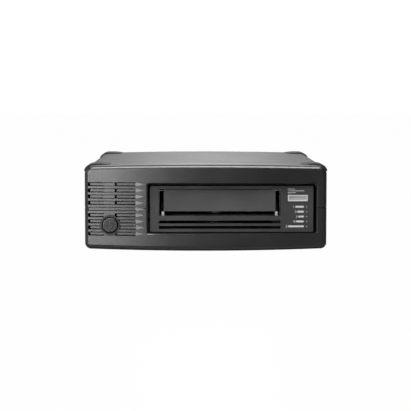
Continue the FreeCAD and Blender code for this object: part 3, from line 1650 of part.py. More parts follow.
def big_gear_z():
    return carriage_top + 1.0


def make_load_gear():
    x, y = load_gear_spot()
    z = big_gear_z()
    small = gear(RACK_MODULE, PINION_TEETH, rack_z(), rack_z() + RACK_T, x, y, 180)
    big = gear(GEAR_MODULE, GEAR_TEETH, z, z + GEAR_FACE, x, y, MESH_TURN)
    neck = rod_z(GEAR_NECK_R, rack_z() + RACK_T - 0.5, z + 0.5, x, y)
    bore = rod_z(SHAFT_R + SHAFT_FIT, rack_z() - 1, z + 5, x, y)
    return one_solid(small.fuse([big, neck]).cut(bore))


def make_load_shaft():
    x, y = load_gear_spot()
    shoulder = rod_z(SHOULDER_R, deck_z, rack_z() - RUN_GAP, x, y)
    return shoulder.fuse(rod_z(SHAFT_R, deck_z, big_gear_z() + GEAR_FACE + 2 * RUN_GAP, x, y))


def make_load_motor():
    x, y = motor_spot()
    z1 = big_gear_z() - 2
    can = rod_z(MOTOR_R, deck_z, z1, x, y)
    nose = rod_z(3 * MOTOR_SHAFT_R, z1, z1 + 0.8, x, y)
    shaft = rod_z(MOTOR_SHAFT_R, z1, z1 + 5.5, x, y)
    return one_solid(can.fuse([nose, shaft]))


def make_motor_pinion():
    x, y = motor_spot()
    z = big_gear_z()
    phase = MESH_TURN + 180 + 180 / MOTOR_TEETH
    pinion = gear(GEAR_MODULE, MOTOR_TEETH, z - 0.5, z + 3.2, x, y, phase)
    return pinion.cut(rod_z(MOTOR_SHAFT_R + SHAFT_FIT, z - 2, z + 5, x, y))


# Reels, rollers and head

def make_reel_motor(x, y, spindle_top):
    plate = rod_z(STATOR_R, deck_z, deck_z + STATOR_T, x, y)
    return plate.fuse(rod_z(SPINDLE_R, deck_z, spindle_top, x, y)).removeSplitter()


def make_supply_chuck():
    """A rotor cup with a ring of face teeth that grips the cartridge's hub."""
    z0 = deck_z + STATOR_T + RUN_GAP
    z2 = carriage_floor_z1
    z1 = z2 - CHUCK_RISE
    cup = rod_z(ROTOR_R, z0, z1, slot_mid, hub_y)
    well = rod_z(ROTOR_R - ROTOR_WALL, z0 - 1, z1 - 1.5, slot_mid, hub_y)
    ring = rod_z(CHUCK_RING_R, z1, z2, slot_mid, hub_y)
    ring = ring.cut(rod_z(CHUCK_EYE_R, z1 + 1, z2 + 1, slot_mid, hub_y))
    gaps = []
    for i in range(CHUCK_TEETH):
        gap = box(slot_mid + CHUCK_EYE_R - 1, slot_mid + CHUCK_RING_R + 1,
                  hub_y - CHUCK_GAP_W / 2, hub_y + CHUCK_GAP_W / 2, z2 - CHUCK_TOOTH_H, z2 + 1)
        gap.rotate(Vector(slot_mid, hub_y, 0), Vector(0, 0, 1), 360 / CHUCK_TEETH * i)
        gaps.append(gap)
    bore = rod_z(SPINDLE_R + SHAFT_FIT, z0 - 1, z2 + 1, slot_mid, hub_y)
    return one_solid(cup.cut(well).fuse(ring).cut(gaps).cut(bore).removeSplitter())


def make_take_up_reel():
    """Two flanges on a hub; a slot in the hub's rim takes the tape's leader pin."""
    z0 = deck_z + STATOR_T + RUN_GAP
    low = tape_z0 - 1.6
    high = tape_z0 + TAPE_W + 0.6
    cup = rod_z(ROTOR_R, z0, low - 1, reel_x, reel_y)
    well = rod_z(ROTOR_R - ROTOR_WALL, z0 - 1, low - 3, reel_x, reel_y)
    neck = rod_z(REEL_HUB_R - 6, low - 1.5, low + 0.5, reel_x, reel_y)
    hub = rod_z(REEL_HUB_R, low, high + REEL_FLANGE_T, reel_x, reel_y)
    flange_low = rod_z(REEL_R, low, low + REEL_FLANGE_T, reel_x, reel_y)
    flange_high = rod_z(REEL_R, high, high + REEL_FLANGE_T, reel_x, reel_y)
    slot = box(reel_x + REEL_HUB_R - REEL_SLOT_L, reel_x + REEL_HUB_R + 1,
               reel_y - REEL_SLOT_W / 2, reel_y + REEL_SLOT_W / 2, low + REEL_FLANGE_T, high + 2)
    reel = cup.cut(well).fuse([neck, hub, flange_low, flange_high]).cut(slot)
    for i in range(REEL_WINDOWS):
        window = box(reel_x + REEL_HUB_R + 4, reel_x + REEL_R - 3, reel_y - REEL_WINDOW_W / 2,
                     reel_y + REEL_WINDOW_W / 2, high - 1, high + 3)
        window.rotate(Vector(reel_x, reel_y, 0), Vector(0, 0, 1), 360 / REEL_WINDOWS * (i + 0.5))
        reel = reel.cut(window)
    bore = rod_z(SPINDLE_R + SHAFT_FIT, z0 - 1, high + 3, reel_x, reel_y)
    return one_solid(reel.cut(bore).removeSplitter())


def roller_spots():
    """Four guides on an easy arc from the cartridge round the head to the reel."""
    x0 = base_x0 + DRIVE_WALL
    y0 = reel_y - REEL_R
    return [(x0 + 18, y0 + 8), (x0 + 10, y0 + 24), (x0 + 10, y0 + 52), (x0 + 22, y0 + 66)]


def make_roller(x, y):
    z0 = tape_z0 - ROLLER_FLANGE_T
    z1 = tape_z0 + TAPE_W + ROLLER_FLANGE_T
    body = rod_z(ROLLER_R + ROLLER_LIP, z0, z1, x, y)
    waist = rod_z(ROLLER_R + 3, tape_z0, tape_z0 + TAPE_W, x, y)
    waist = waist.cut(rod_z(ROLLER_R, tape_z0 - 1, tape_z0 + TAPE_W + 1, x, y))
    return body.cut(waist).cut(rod_z(SHAFT_R + SHAFT_FIT, z0 - 1, z1 + 1, x, y))


def make_roller_posts():
    z0 = tape_z0 - ROLLER_FLANGE_T - RUN_GAP
    z1 = tape_z0 + TAPE_W + ROLLER_FLANGE_T
    posts = []
    for x, y in roller_spots():
        post = rod_z(SHAFT_R, z0, z1 + 2, x, y)
        cap = rod_z(SHAFT_R + ROLLER_LIP, z1 + RUN_GAP, z1 + RUN_GAP + ROLLER_CAP_T, x, y)
        posts.append(post.fuse(cap))
    return posts


def head_spot():
    x = base_x0 + DRIVE_WALL + 21
    y = (roller_spots()[1][1] + roller_spots()[2][1]) / 2
    return x, y


def head_rods():
    x, y = head_spot()
    return [(x, y - HEAD_ROD_REACH), (x, y + HEAD_ROD_REACH)]


def make_head_base():
    """A casting with the two vertical rods that the head rides on."""
    x, y = head_spot()
    top = tape_z0 + TAPE_W + HEAD_TRAVEL + RUN_GAP
    foot = plate_xy(x - 9, x + 12, y - 13, y + 13, deck_z, deck_z + 5, 3.0)
    tower = box(x + 8, x + 11, y - 11, y + 11, deck_z, top)
    parts = [rod_z(SHAFT_R, deck_z, top, px, py) for px, py in head_rods()]
    cap = box(x - 3, x + 11, y - 11, y + 11, top, top + 1.2)
    return one_solid(foot.fuse(parts + [tower, cap]).removeSplitter())


def make_head_carriage():
    x, y = head_spot()
    z0 = tape_z0 - 2
    z1 = tape_z0 + TAPE_W
    half = HEAD_BLOCK_W / 2
    block = box(x - HEAD_BLOCK_T / 2, x + HEAD_BLOCK_T / 2, y - half, y + half, z0, z1)
    for px, py in head_rods():
        block = block.cut(rod_z(SHAFT_R + SHAFT_FIT, z0 - 1, z1 + 1, px, py))
    return block


def make_tape_head():
    """The ceramic read and write face, rounded where the tape wraps it."""
    x, y = head_spot()
    z0 = tape_z0
    z1 = tape_z0 + TAPE_W
    x1 = x - HEAD_BLOCK_T / 2
    x0 = x1 - HEAD_T
    block = box(x0, x1, y - HEAD_W / 2, y + HEAD_W / 2, z0, z1)
    rounding = [e for e in block.Edges
                if e.BoundBox.ZLength > TAPE_W / 2 and e.BoundBox.XMax < x0 + 0.1]
    return block.makeFillet(HEAD_NOSE_R, rounding)


def make_drive_board():
    inset = DRIVE_BOARD_INSET
    x0 = base_x0 + DRIVE_WALL + inset
    x1 = base_x1 - DRIVE_WALL - inset
    y0 = reel_y - REEL_R - 4
    y1 = drive_y1 - DRIVE_WALL - inset
    z = board_z()
    top = z + DRIVE_BOARD_T
    board = box(x0, x1, y0, y1, z, top)
    half = CHIP_W / 2
    chip = plate_xy(slot_mid - half, slot_mid + half, y0 + 20, y0 + 20 + CHIP_W, top,
                    top + CHIP_T, 1.0)
    chip2 = box(slot_mid + 30, slot_mid + 44, y0 + 24, y0 + 36, top, top + SMALL_CHIP_T)
    return board.fuse([chip, chip2])


def make_drive_connector():
    x0, x1 = ribbon_span()
    z = connector_z()
    body = box(x0 - 0.5, x1 + 0.5, drive_y1 - 6, drive_y1 + 2, z, z + 6)
    plug = box(x0, x1, drive_y1 + 2, drive_y1 + 6.5, z + 0.8, z + 5.2)
    return body.fuse(plug)


def export(name, *solids):
    shape = solids[0] if len(solids) == 1 else Part.makeCompound(list(solids))
    if not shape.isValid():
        print("not valid:", name)
    if any(s.Volume <= 0 for s in shape.Solids) or not shape.Solids:
        print("no volume:", name)
    shape.exportStep(os.path.join("parts", name + ".step"))


def main():
    os.makedirs("parts", exist_ok=True)
    feet = make_feet()
    case = case_body()
    pads = make_pads(case)
    lower, upper = make_shells(case, make_case(case, pads, feet), feet)
    export("lower_shell", lower)
    export("upper_shell", upper)
    export("stacking_pads", *pads)
    export("rubber_feet", *feet)
    export("case_screws", *make_case_screws())

    export("power_button", make_power_button())
    export("power_plunger", make_power_plunger())
    export("power_spring", make_power_spring())
    export("power_switch", make_power_switch())
    export("switch_board", make_switch_board())

    export("rear_panel", make_rear_panel())
    export("fan_frame", make_fan_frame())
    export("fan_rotor", make_fan_rotor())
    export("fan_screws", *make_fan_screws())
    export("mains_inlet", make_mains_inlet())
    export("inlet_pins", *make_inlet_pins())
    export("inlet_screws", *make_inlet_screws())
    export("port_cages", *make_port_cages())
    export("port_contacts", *make_port_contacts())
    export("port_board", make_port_board())
    export("port_brackets", *make_port_brackets())

    export("supply_board", make_supply_board())
    export("supply_screws", *make_supply_screws())
    export("supply_transformer", make_transformer())
    export("supply_capacitors", *make_capacitors())
    export("supply_heatsinks", *make_heatsinks())
    export("supply_choke", make_choke())
    export("inlet_lead", make_inlet_lead())
    export("data_ribbon", make_data_ribbon())

    export("drive_base", make_drive_base())
    export("drive_cover", make_drive_cover())
    export("drive_rails", *make_drive_rails())
    export("rail_screws", *make_rail_screws())
    export("drive_bezel", make_bezel())
    export("cartridge_door", make_door())
    export("door_pins", *make_door_pins())
    export("eject_button", make_eject_button())
    export("light_pipes", *make_light_pipes())
    export("front_board", make_front_board())
    export("front_lamps", *make_lamps())
    export("eject_switch", make_eject_switch())

    export("cartridge_carriage", make_carriage())
    export("load_gear", make_load_gear())
    export("load_shaft", make_load_shaft())
    export("load_motor", make_load_motor())
    export("motor_pinion", make_motor_pinion())
    export("supply_motor", make_reel_motor(slot_mid, hub_y, carriage_floor_z1 - 1.5))
    export("supply_chuck", make_supply_chuck())
    export("take_up_motor", make_reel_motor(reel_x, reel_y, tape_z0 + TAPE_W + 1.5))
    export("take_up_reel", make_take_up_reel())
    export("roller_posts", *make_roller_posts())
    for i, (x, y) in enumerate(roller_spots()):
        export(f"guide_roller_{i + 1}", make_roller(x, y))
    export("head_base", make_head_base())
    export("head_carriage", make_head_carriage())
    export("tape_head", make_tape_head())
    export("drive_board", make_drive_board())
    export("drive_connector", make_drive_connector())


main()
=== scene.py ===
# %% [markdown]
# # Dressing an external tape drive
#
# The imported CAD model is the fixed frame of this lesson: a bowed two-piece desktop case with a
# half-height tape drive in its front, a louvred intake and a round power button beside it. We load
# the frame, set up the camera and a plain studio, give every piece the finish of the real one, and
# model the small parts that a moulded solid leaves out.

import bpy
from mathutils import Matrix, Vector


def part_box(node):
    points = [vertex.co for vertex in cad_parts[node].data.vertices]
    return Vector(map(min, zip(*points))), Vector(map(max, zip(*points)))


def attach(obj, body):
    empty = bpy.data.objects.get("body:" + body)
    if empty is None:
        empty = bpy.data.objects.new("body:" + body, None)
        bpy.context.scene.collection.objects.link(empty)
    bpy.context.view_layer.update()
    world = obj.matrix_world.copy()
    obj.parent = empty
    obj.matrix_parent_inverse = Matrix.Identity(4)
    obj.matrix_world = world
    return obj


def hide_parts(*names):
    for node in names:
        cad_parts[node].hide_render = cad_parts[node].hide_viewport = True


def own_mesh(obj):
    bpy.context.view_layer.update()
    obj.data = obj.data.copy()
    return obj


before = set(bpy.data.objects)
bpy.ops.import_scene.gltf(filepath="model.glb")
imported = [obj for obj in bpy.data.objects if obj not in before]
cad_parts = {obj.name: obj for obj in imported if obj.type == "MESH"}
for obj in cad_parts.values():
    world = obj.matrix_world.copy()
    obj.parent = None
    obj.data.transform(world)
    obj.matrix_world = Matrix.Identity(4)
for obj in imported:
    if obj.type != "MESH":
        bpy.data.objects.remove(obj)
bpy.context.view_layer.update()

# %% [markdown]
# Every length in Blender is in metres, while such a product is drawn in millimetres. One small
# factor keeps the numbers below in millimetres, as a maker thinks of them. The frame arrives with
# all its nodes selected, so everything is deselected before the first operator runs.

# %% Units and selection
from math import cos, pi, radians

import bmesh
import bpy
from mathutils import Vector

MM = 0.001
bpy.ops.object.select_all(action="DESELECT")


def mm(*place):
    """A place or a size given in millimetres."""
    return Vector(place) * MM


# %% [markdown]
# ## Camera
#
# The object was photographed with a long lens from a little above, nearly square to the front. The
# lens is worked out from how the case narrows towards its back: its focal length is about 1479
# pixels on a frame of 411. The camera stands 1.32 m in front of the case and a touch to the left.

# %% Camera
PHOTO_PIXELS = 411
FOCAL_PIXELS = 1479
SENSOR_MM = 36.0
CAMERA_PLACE = (-0.0117, -1.455, 0.148)
CAMERA_DOWN = 4.568
CAMERA_RIGHT = 0.493

camera_data = bpy.data.cameras.new("camera")
camera_data.sensor_width = SENSOR_MM
camera_data.lens = FOCAL_PIXELS / PHOTO_PIXELS * SENSOR_MM
camera = bpy.data.objects.new("camera", camera_data)
camera.location = CAMERA_PLACE
camera.rotation_euler = (radians(90 - CAMERA_DOWN), 0, radians(-CAMERA_RIGHT))
bpy.context.scene.collection.objects.link(camera)
bpy.context.scene.camera = camera
bpy.context.scene.view_settings.view_transform = "Standard"
print("lens:", round(camera_data.lens, 1), "mm")

# %% [markdown]
# ## Colours and nodes
#
# Colours are written as the hex values that an artist picks on a screen, and one function turns
# them into the linear light that a renderer works in. One small function adds a shader node with
# its settings, values and links, so that each finish below reads as a short recipe.


# %% Colour and node helpers
def linear(hex_colour):
    """An sRGB hex value as linear RGBA."""
    channels = [int(hex_colour[i:i + 2], 16) / 255 for i in (1, 3, 5)]
    light = [c / 12.92 if c <= 0.04045 else ((c + 0.055) / 1.055) ** 2.4 for c in channels]
    return (*light, 1.0)


def add_node(tree, kind, settings=None, values=None, links=None):
    """Adds one node, sets its properties and its sockets, and links what feeds it."""
    node = tree.nodes.new(kind)
    for name, value in (settings or {}).items():
        setattr(node, name, value)
    for name, value in (values or {}).items():
        node.inputs[name].default_value = value
    for name, source in (links or {}).items():
        tree.links.new(source, node.inputs[name])
    return node


def new_finish(name, colour, roughness, metallic=0.0, **sockets):
    """A material with its shader and output. Gives back the material and what recipes need."""
    material = bpy.data.materials.new(name)
    material.use_nodes = True
    tree = material.node_tree
    tree.nodes.clear()
    place = add_node(tree, "ShaderNodeTexCoord").outputs["Object"]
    values = {"Base Color": linear(colour), "Roughness": roughness, "Metallic": metallic}
    values.update(sockets)
    shader = add_node(tree, "ShaderNodeBsdfPrincipled", values=values)
    add_node(tree, "ShaderNodeOutputMaterial", links={"Surface": shader.outputs["BSDF"]})
    print("finish:", name)
    return material, tree, shader, place


# %% [markdown]
# Two patterns turn up on nearly every surface. A spark-eroded mould leaves a fine grain, which is
# a bump of a given spacing and depth. And no moulding or casting is quite one shade, so its colour
# and its roughness drift a little over some centimetres. Both take their scale from a real size.
# The drift mixes two colours by a mask, and that step is a helper of its own, because pieces of
# two materials need it too.


# %% Grain and drift
def add_grain(tree, shader, place, spacing_mm, depth_mm, detail=2.0):
    """A bump of rounded grains with the given spacing."""
    noise = add_node(
        tree, "ShaderNodeTexNoise",
        values={"Scale": 1 / (spacing_mm * MM), "Detail": detail, "Roughness": 0.55},
        links={"Vector": place},
    )
    bump = add_node(
        tree, "ShaderNodeBump", values={"Strength": 1.0, "Distance": depth_mm * MM},
        links={"Height": noise.outputs["Fac"]},
    )
    tree.links.new(bump.outputs["Normal"], shader.inputs["Normal"])


def two_tone(tree, shader, mask, colours):
    """Feeds the base colour with the first colour, or the second where the mask is one."""
    mix = add_node(tree, "ShaderNodeMix", settings={"data_type": "RGBA"}, links={"Factor": mask})
    mix.inputs[6].default_value = linear(colours[0])
    mix.inputs[7].default_value = linear(colours[1])
    tree.links.new(mix.outputs[2], shader.inputs["Base Color"])


def add_drift(tree, shader, place, spacing_mm, colours, roughnesses):
    """A slow change of colour and roughness over the surface."""
    noise = add_node(
        tree, "ShaderNodeTexNoise",
        values={"Scale": 1 / (spacing_mm * MM), "Detail": 3.0, "Roughness": 0.6},
        links={"Vector": place},
    )
    level = add_node(
        tree, "ShaderNodeMapRange", values={"From Min": 0.35, "From Max": 0.65},
        links={"Value": noise.outputs["Fac"]},
    ).outputs["Result"]
    two_tone(tree, shader, level, colours)
    rough = add_node(
        tree, "ShaderNodeMapRange", values={"To Min": roughnesses[0], "To Max": roughnesses[1]},
        links={"Value": level},
    )
    tree.links.new(rough.outputs["Result"], shader.inputs["Roughness"])


# %% [markdown]
# ## Studio
#
# The photograph is a catalogue shot on a white sweep. A low soft box at the left of the camera
# makes the front fall off from left to right, high boxes before and behind light the top and its
# rounded front edge, and dark flags draw the case's outline. The world stands in for the sweep
# and the flags: it is white to the camera, and in reflections it is grey behind the object and
# nearly black beside it and in front of it.

# %% World
AIR_LEVEL = 0.22
FLAG_LEVEL = 0.02
BACKDROP_LEVEL = 0.3
# A heading's Y says how far it points to the back. The flags end at the first value, and from the
# second on there is only backdrop.
FLAGS_END = 0.15
BACKDROP_WHOLE = 0.7

world = bpy.data.worlds.new("studio_air")
bpy.context.scene.world = world
world.use_nodes = True
air = world.node_tree
air.nodes.clear()
ray = add_node(air, "ShaderNodeLightPath").outputs
heading = add_node(air, "ShaderNodeTexCoord").outputs["Generated"]
axes = add_node(air, "ShaderNodeSeparateXYZ", links={"Vector": heading}).outputs
mirrored = add_node(
    air, "ShaderNodeMapRange", settings={"interpolation_type": "SMOOTHSTEP"},
    values={"From Min": FLAGS_END, "From Max": BACKDROP_WHOLE,
            "To Min": FLAG_LEVEL, "To Max": BACKDROP_LEVEL},
    links={"Value": axes["Y"]},
).outputs["Result"]
for_gloss = add_node(
    air, "ShaderNodeMix", values={"A": AIR_LEVEL},
    links={"Factor": ray["Is Glossy Ray"], "B": mirrored},
).outputs[0]
seen = add_node(
    air, "ShaderNodeMath", settings={"operation": "MAXIMUM"},
    links={0: ray["Is Camera Ray"], 1: ray["Is Transmission Ray"]},
)
strength = add_node(
    air, "ShaderNodeMix", values={"B": 1.0},
    links={"Factor": seen.outputs[0], "A": for_gloss},
).outputs[0]
background = add_node(
    air, "ShaderNodeBackground", values={"Color": (1, 1, 1, 1)}, links={"Strength": strength},
)
add_node(air, "ShaderNodeOutputWorld", links={"Surface": background.outputs["Background"]})
print("world:", len(air.nodes), "nodes")

# %% [markdown]
# A soft light is an area lamp, and its size sets how soft it is. Each one is given by where it
# stands, how large it is and its power, and all look at the part's middle. The key stands low at
# the front left. The box at the left side and the small one behind are weak: they only keep the
# case's side and the far end of its top from going flat.


# %% Lamps
MIDDLE = (0.0, 0.0, 0.04)


def add_soft_light(name, place, width, height, power):
    """A rectangular area lamp that looks at the middle of the part."""
    lamp_data = bpy.data.lights.new(name, "AREA")
    lamp_data.shape = "RECTANGLE"
    lamp_data.size = width
    lamp_data.size_y = height
    lamp_data.energy = power
    lamp = bpy.data.objects.new(name, lamp_data)
    lamp.location = place
    lamp.rotation_euler = (Vector(MIDDLE) - Vector(place)).to_track_quat("-Z", "Y").to_euler()
    bpy.context.scene.collection.objects.link(lamp)


add_soft_light("key_box", (-0.92, -1.88, 0.3), 0.95, 0.6, 20.5)
add_soft_light("front_top_box", (0.0, -0.95, 1.4), 1.6, 0.8, 46.0)
add_soft_light("side_box", (-1.7, -0.3, 0.6), 1.3, 1.1, 5.0)
add_soft_light("rear_top_box", (0.0, 0.85, 1.3), 1.6, 0.8, 15.0)
add_soft_light("back_box", (0.02, 1.6, 0.7), 0.28, 0.7, 1.4)
print("lamps:", [(lamp.name, lamp.energy) for lamp in bpy.data.lights])

# %% [markdown]
# The floor is one large sheet. To the camera it glows nearly as bright as the backdrop, so the two
# meet without a line, and the small rest of it takes the shadow. To every other ray it is a smooth
# mid grey sheet, so that not too much light comes up from it into the dark plastic.

# %% Floor
FLOOR_SIZE = 14.0
FLOOR_GLOW = 0.985

bpy.ops.mesh.primitive_plane_add(size=FLOOR_SIZE, location=(0, 0, 0))
floor = bpy.context.object
floor.name = floor.data.name = "floor"
paper = bpy.data.materials.new("white_paper_sweep")
paper.use_nodes = True
sheet = paper.node_tree
sheet.nodes.clear()
grey_skin = add_node(
    sheet, "ShaderNodeBsdfPrincipled",
    values={"Base Color": linear("#6c6c6c"), "Roughness": 0.2, "IOR": 1.49},
).outputs["BSDF"]
glow = add_node(
    sheet, "ShaderNodeEmission", values={"Color": (1, 1, 1, 1), "Strength": 1.0},
).outputs["Emission"]
by_camera = add_node(
    sheet, "ShaderNodeMath", settings={"operation": "MULTIPLY"},
    links={0: add_node(sheet, "ShaderNodeLightPath").outputs["Is Camera Ray"]},
)
by_camera.inputs[1].default_value = FLOOR_GLOW
blend = add_node(
    sheet, "ShaderNodeMixShader", links={0: by_camera.outputs[0], 1: grey_skin, 2: glow})
add_node(sheet, "ShaderNodeOutputMaterial", links={"Surface": blend.outputs["Shader"]})
floor.data.materials.append(paper)
floor.select_set(False)
print("floor:", FLOOR_SIZE, "m across")

# %% [markdown]
# ## Finishes
#
# The case is moulded ABS in charcoal, with a satin spark-eroded texture. It gives a wide, soft
# highlight that follows the bow of the front. The real grain is about 0.15 mm, too fine to show,
# so it is drawn at 0.5 mm. The top and the sides come out of the mould a little duller than the
# front, so the roughness rises over the first centimetre behind it.

# %% Case and pads
FRONT_GLOSS_ENDS_MM = -131
DULL_FROM_MM = -120
DULLER_BY = 0.16

charcoal_abs, tree, shader, place = new_finish("charcoal_moulded_abs", "#141415", 0.3, IOR=1.65)
add_drift(tree, shader, place, 45, ("#131314", "#161617"), (0.28, 0.33))
depth = add_node(tree, "ShaderNodeSeparateXYZ", links={"Vector": place}).outputs["Y"]
duller = add_node(
    tree, "ShaderNodeMapRange",
    values={"From Min": FRONT_GLOSS_ENDS_MM * MM, "From Max": DULL_FROM_MM * MM,
            "To Min": 0.0, "To Max": DULLER_BY},
    links={"Value": depth},
).outputs["Result"]
front_gloss = shader.inputs["Roughness"].links[0].from_socket
gloss = add_node(tree, "ShaderNodeMath", links={0: front_gloss, 1: duller})
tree.links.new(gloss.outputs[0], shader.inputs["Roughness"])
add_grain(tree, shader, place, 0.5, 0.012)

# The strips in the seam and in the grille's grooves are painted shade: a flat black that gives
# back next to no light, so a fine groove reads as a black line.
groove_shade_black, tree, shader, place = new_finish("painted_groove_shade", "#060606", 0.85, IOR=1.35)
add_grain(tree, shader, place, 0.6, 0.02)

# The power button is ABS from a finer mould than the case, and reads a shade lighter.
button_abs, tree, shader, place = new_finish("fine_grained_button_abs", "#1f1f20", 0.34, IOR=1.6)
add_drift(tree, shader, place, 12, ("#1d1d1e", "#222223"), (0.31, 0.37))
add_grain(tree, shader, place, 0.4, 0.008)

# The stacking pads and feet are moulded thermoplastic elastomer: black, duller than the case, with
# a slight oily sheen at low angles.
pad_elastomer, tree, shader, place = new_finish("black_elastomer", "#080809", 0.6, IOR=1.42)
add_drift(tree, shader, place, 18, ("#070708", "#0a0a0b"), (0.55, 0.65))
add_grain(tree, shader, place, 0.8, 0.02)

# %% [markdown]
# The drive's own front is a finer moulding than the case: black polycarbonate, smoother and a
# little glossier. Its door is the same resin in a tool with a brushed-smooth face. The eject
# button is painted silver grey, and the marks beside the lamps are screen-printed in light grey
# ink.

# %% Drive front
# The bezel keeps a fairly narrow highlight along its edges.
bezel_resin, tree, shader, place = new_finish("black_polycarbonate", "#2a2a2b", 0.3, IOR=1.62)
add_drift(tree, shader, place, 30, ("#28282a", "#2d2d2e"), (0.28, 0.33))
add_grain(tree, shader, place, 0.4, 0.006)

# The door is a shade lighter than the bezel round it, with an even sheen.
door_resin, tree, shader, place = new_finish("satin_door_resin", "#363637", 0.34, IOR=1.58)
add_drift(tree, shader, place, 35, ("#343435", "#39393a"), (0.31, 0.37))
add_grain(tree, shader, place, 0.4, 0.004)

# Sprayed paint on the button's rim is the brightest thing on the front.
silver_paint, tree, shader, place = new_finish("silver_grey_paint", "#9c9c9c", 0.42, IOR=1.5)
add_drift(tree, shader, place, 6, ("#979797", "#a1a1a1"), (0.38, 0.46))
add_grain(tree, shader, place, 0.25, 0.003)

# The field inside the rim is sprayed darker and duller, which makes the rim stand out.
field_paint, tree, shader, place = new_finish("matt_grey_paint", "#828282", 0.5, IOR=1.5)
add_drift(tree, shader, place, 6, ("#767676", "#7e7e7e"), (0.45, 0.55))
add_grain(tree, shader, place, 0.25, 0.003)

# Screen ink dries thin and matt, a little uneven over a mark's length.
legend_ink, tree, shader, place = new_finish("light_grey_ink", "#a2a2a2", 0.55)
add_drift(tree, shader, place, 2, ("#9a9a9a", "#aaaaaa"), (0.5, 0.6))

# %% [markdown]
# Metal inside and at the back: zinc-plated steel sheet, plated screws, die castings and a little
# brass. A bare metal keeps the shader's default index of refraction, and its roughness does the
# work.

# %% Metals
# Rolled sheet has faint lines: the grain is drawn out along X, so highlights streak across it.
zinc_sheet, tree, shader, place = new_finish("zinc_plated_sheet", "#aeb0b3", 0.36, 1.0)
add_drift(tree, shader, place, 14, ("#a6a8ab", "#b7b9bc"), (0.30, 0.42))
rolled = add_node(
    tree, "ShaderNodeMapping", values={"Scale": (0.04, 1.0, 1.0)}, links={"Vector": place},
).outputs["Vector"]
add_grain(tree, shader, rolled, 0.6, 0.004)

# Screws, pins and shafts are turned and plated, and give small sharp glints.
plated_screw, tree, shader, place = new_finish("plated_screw_steel", "#8e9092", 0.28, 1.0)
add_drift(tree, shader, place, 4, ("#86888a", "#97999b"), (0.24, 0.34))
add_grain(tree, shader, place, 0.5, 0.004)

# A pressure die casting has a grey, slightly pebbled skin that spreads a highlight wide.
die_casting, tree, shader, place = new_finish("die_cast_aluminium", "#9b9c9d", 0.5, 1.0)
add_drift(tree, shader, place, 12, ("#929394", "#a4a5a6"), (0.44, 0.58))
add_grain(tree, shader, place, 1.2, 0.03, detail=3.0)

# The chassis and the spindle motors are castings. Their dull black with the casting's pebbles is
# painted shade, which keeps the space behind the intake's slots dark.
shade_black_casting, tree, shader, place = new_finish("casting_black_as_painted_shade", "#161617", 0.55, IOR=1.5)
add_drift(tree, shader, place, 12, ("#131314", "#1a1a1b"), (0.5, 0.62))
add_grain(tree, shader, place, 1.2, 0.03, detail=3.0)

# Drawn brass is warm and fairly bright.
bare_brass, tree, shader, place = new_finish("bare_brass", "#c8a255", 0.3, 1.0)
add_drift(tree, shader, place, 5, ("#c29a4b", "#cfaa60"), (0.26, 0.36))
add_grain(tree, shader, place, 0.5, 0.003)

# %% [markdown]
# Plastics and ceramics inside: black nylon for the fan, the sockets, the carriage and the supply
# reel's chuck, natural acetal for the gear, the take-up reel and the power button's plunger, grey
# acetal for the slot's posts, acrylic for the light pipes, PVC on the mains lead, and the ceramics
# of the head and the choke.

# %% Inner plastics
# Glass-filled nylon: the fibres at the skin make it matt and a little mottled.
black_nylon, tree, shader, place = new_finish("glass_filled_nylon", "#1c1c1e", 0.45, IOR=1.53)
add_drift(tree, shader, place, 15, ("#19191b", "#202022"), (0.4, 0.52))
add_grain(tree, shader, place, 0.6, 0.015)

# Natural acetal is a waxy off-white.
natural_acetal, tree, shader, place = new_finish("natural_acetal", "#dcdcd6", 0.38, IOR=1.48)
add_drift(tree, shader, place, 20, ("#d6d6cf", "#e2e2dc"), (0.34, 0.44))
add_grain(tree, shader, place, 0.8, 0.008)

# Grey acetal has the same wax, and just shows in the dark of the slot.
grey_acetal, tree, shader, place = new_finish("grey_acetal", "#7e7e7c", 0.45, IOR=1.48)
add_drift(tree, shader, place, 3, ("#787876", "#858583"), (0.4, 0.5))
add_grain(tree, shader, place, 0.4, 0.004)

# Clear acrylic over a dark inside: an unlit pipe reads as a small glossy grey lens.
clear_acrylic, tree, shader, place = new_finish("clear_acrylic", "#8b908c", 0.12, IOR=1.49)
add_drift(tree, shader, place, 2, ("#818683", "#959a96"), (0.1, 0.16))

# Extruded PVC: black and soft, with an even satin sheen.
lead_jacket, tree, shader, place = new_finish("lead_jacket_pvc", "#17171a", 0.4, IOR=1.52)
add_drift(tree, shader, place, 10, ("#141417", "#1c1c1f"), (0.36, 0.46))
add_grain(tree, shader, place, 0.7, 0.008)

# The head's face is lapped so that tape glides on it, and mirrors like dark glass.
lapped_ceramic, tree, shader, place = new_finish("lapped_ceramic", "#39393c", 0.14, IOR=1.7)
add_drift(tree, shader, place, 3, ("#343437", "#404043"), (0.1, 0.2))

# Ferrite is pressed powder, baked: dull dark grey and slightly sandy.
ferrite_core, tree, shader, place = new_finish("sintered_ferrite", "#3c3c3f", 0.6)
add_drift(tree, shader, place, 8, ("#363639", "#434346"), (0.55, 0.68))
add_grain(tree, shader, place, 0.7, 0.02)

# %% [markdown]
# A circuit board is glass cloth under green solder mask. The mask is glossy, the copper under it
# shows as paler green lines, and the lines run square to the board's edges. A brick pattern with
# thin joints gives such a grid of tracks.

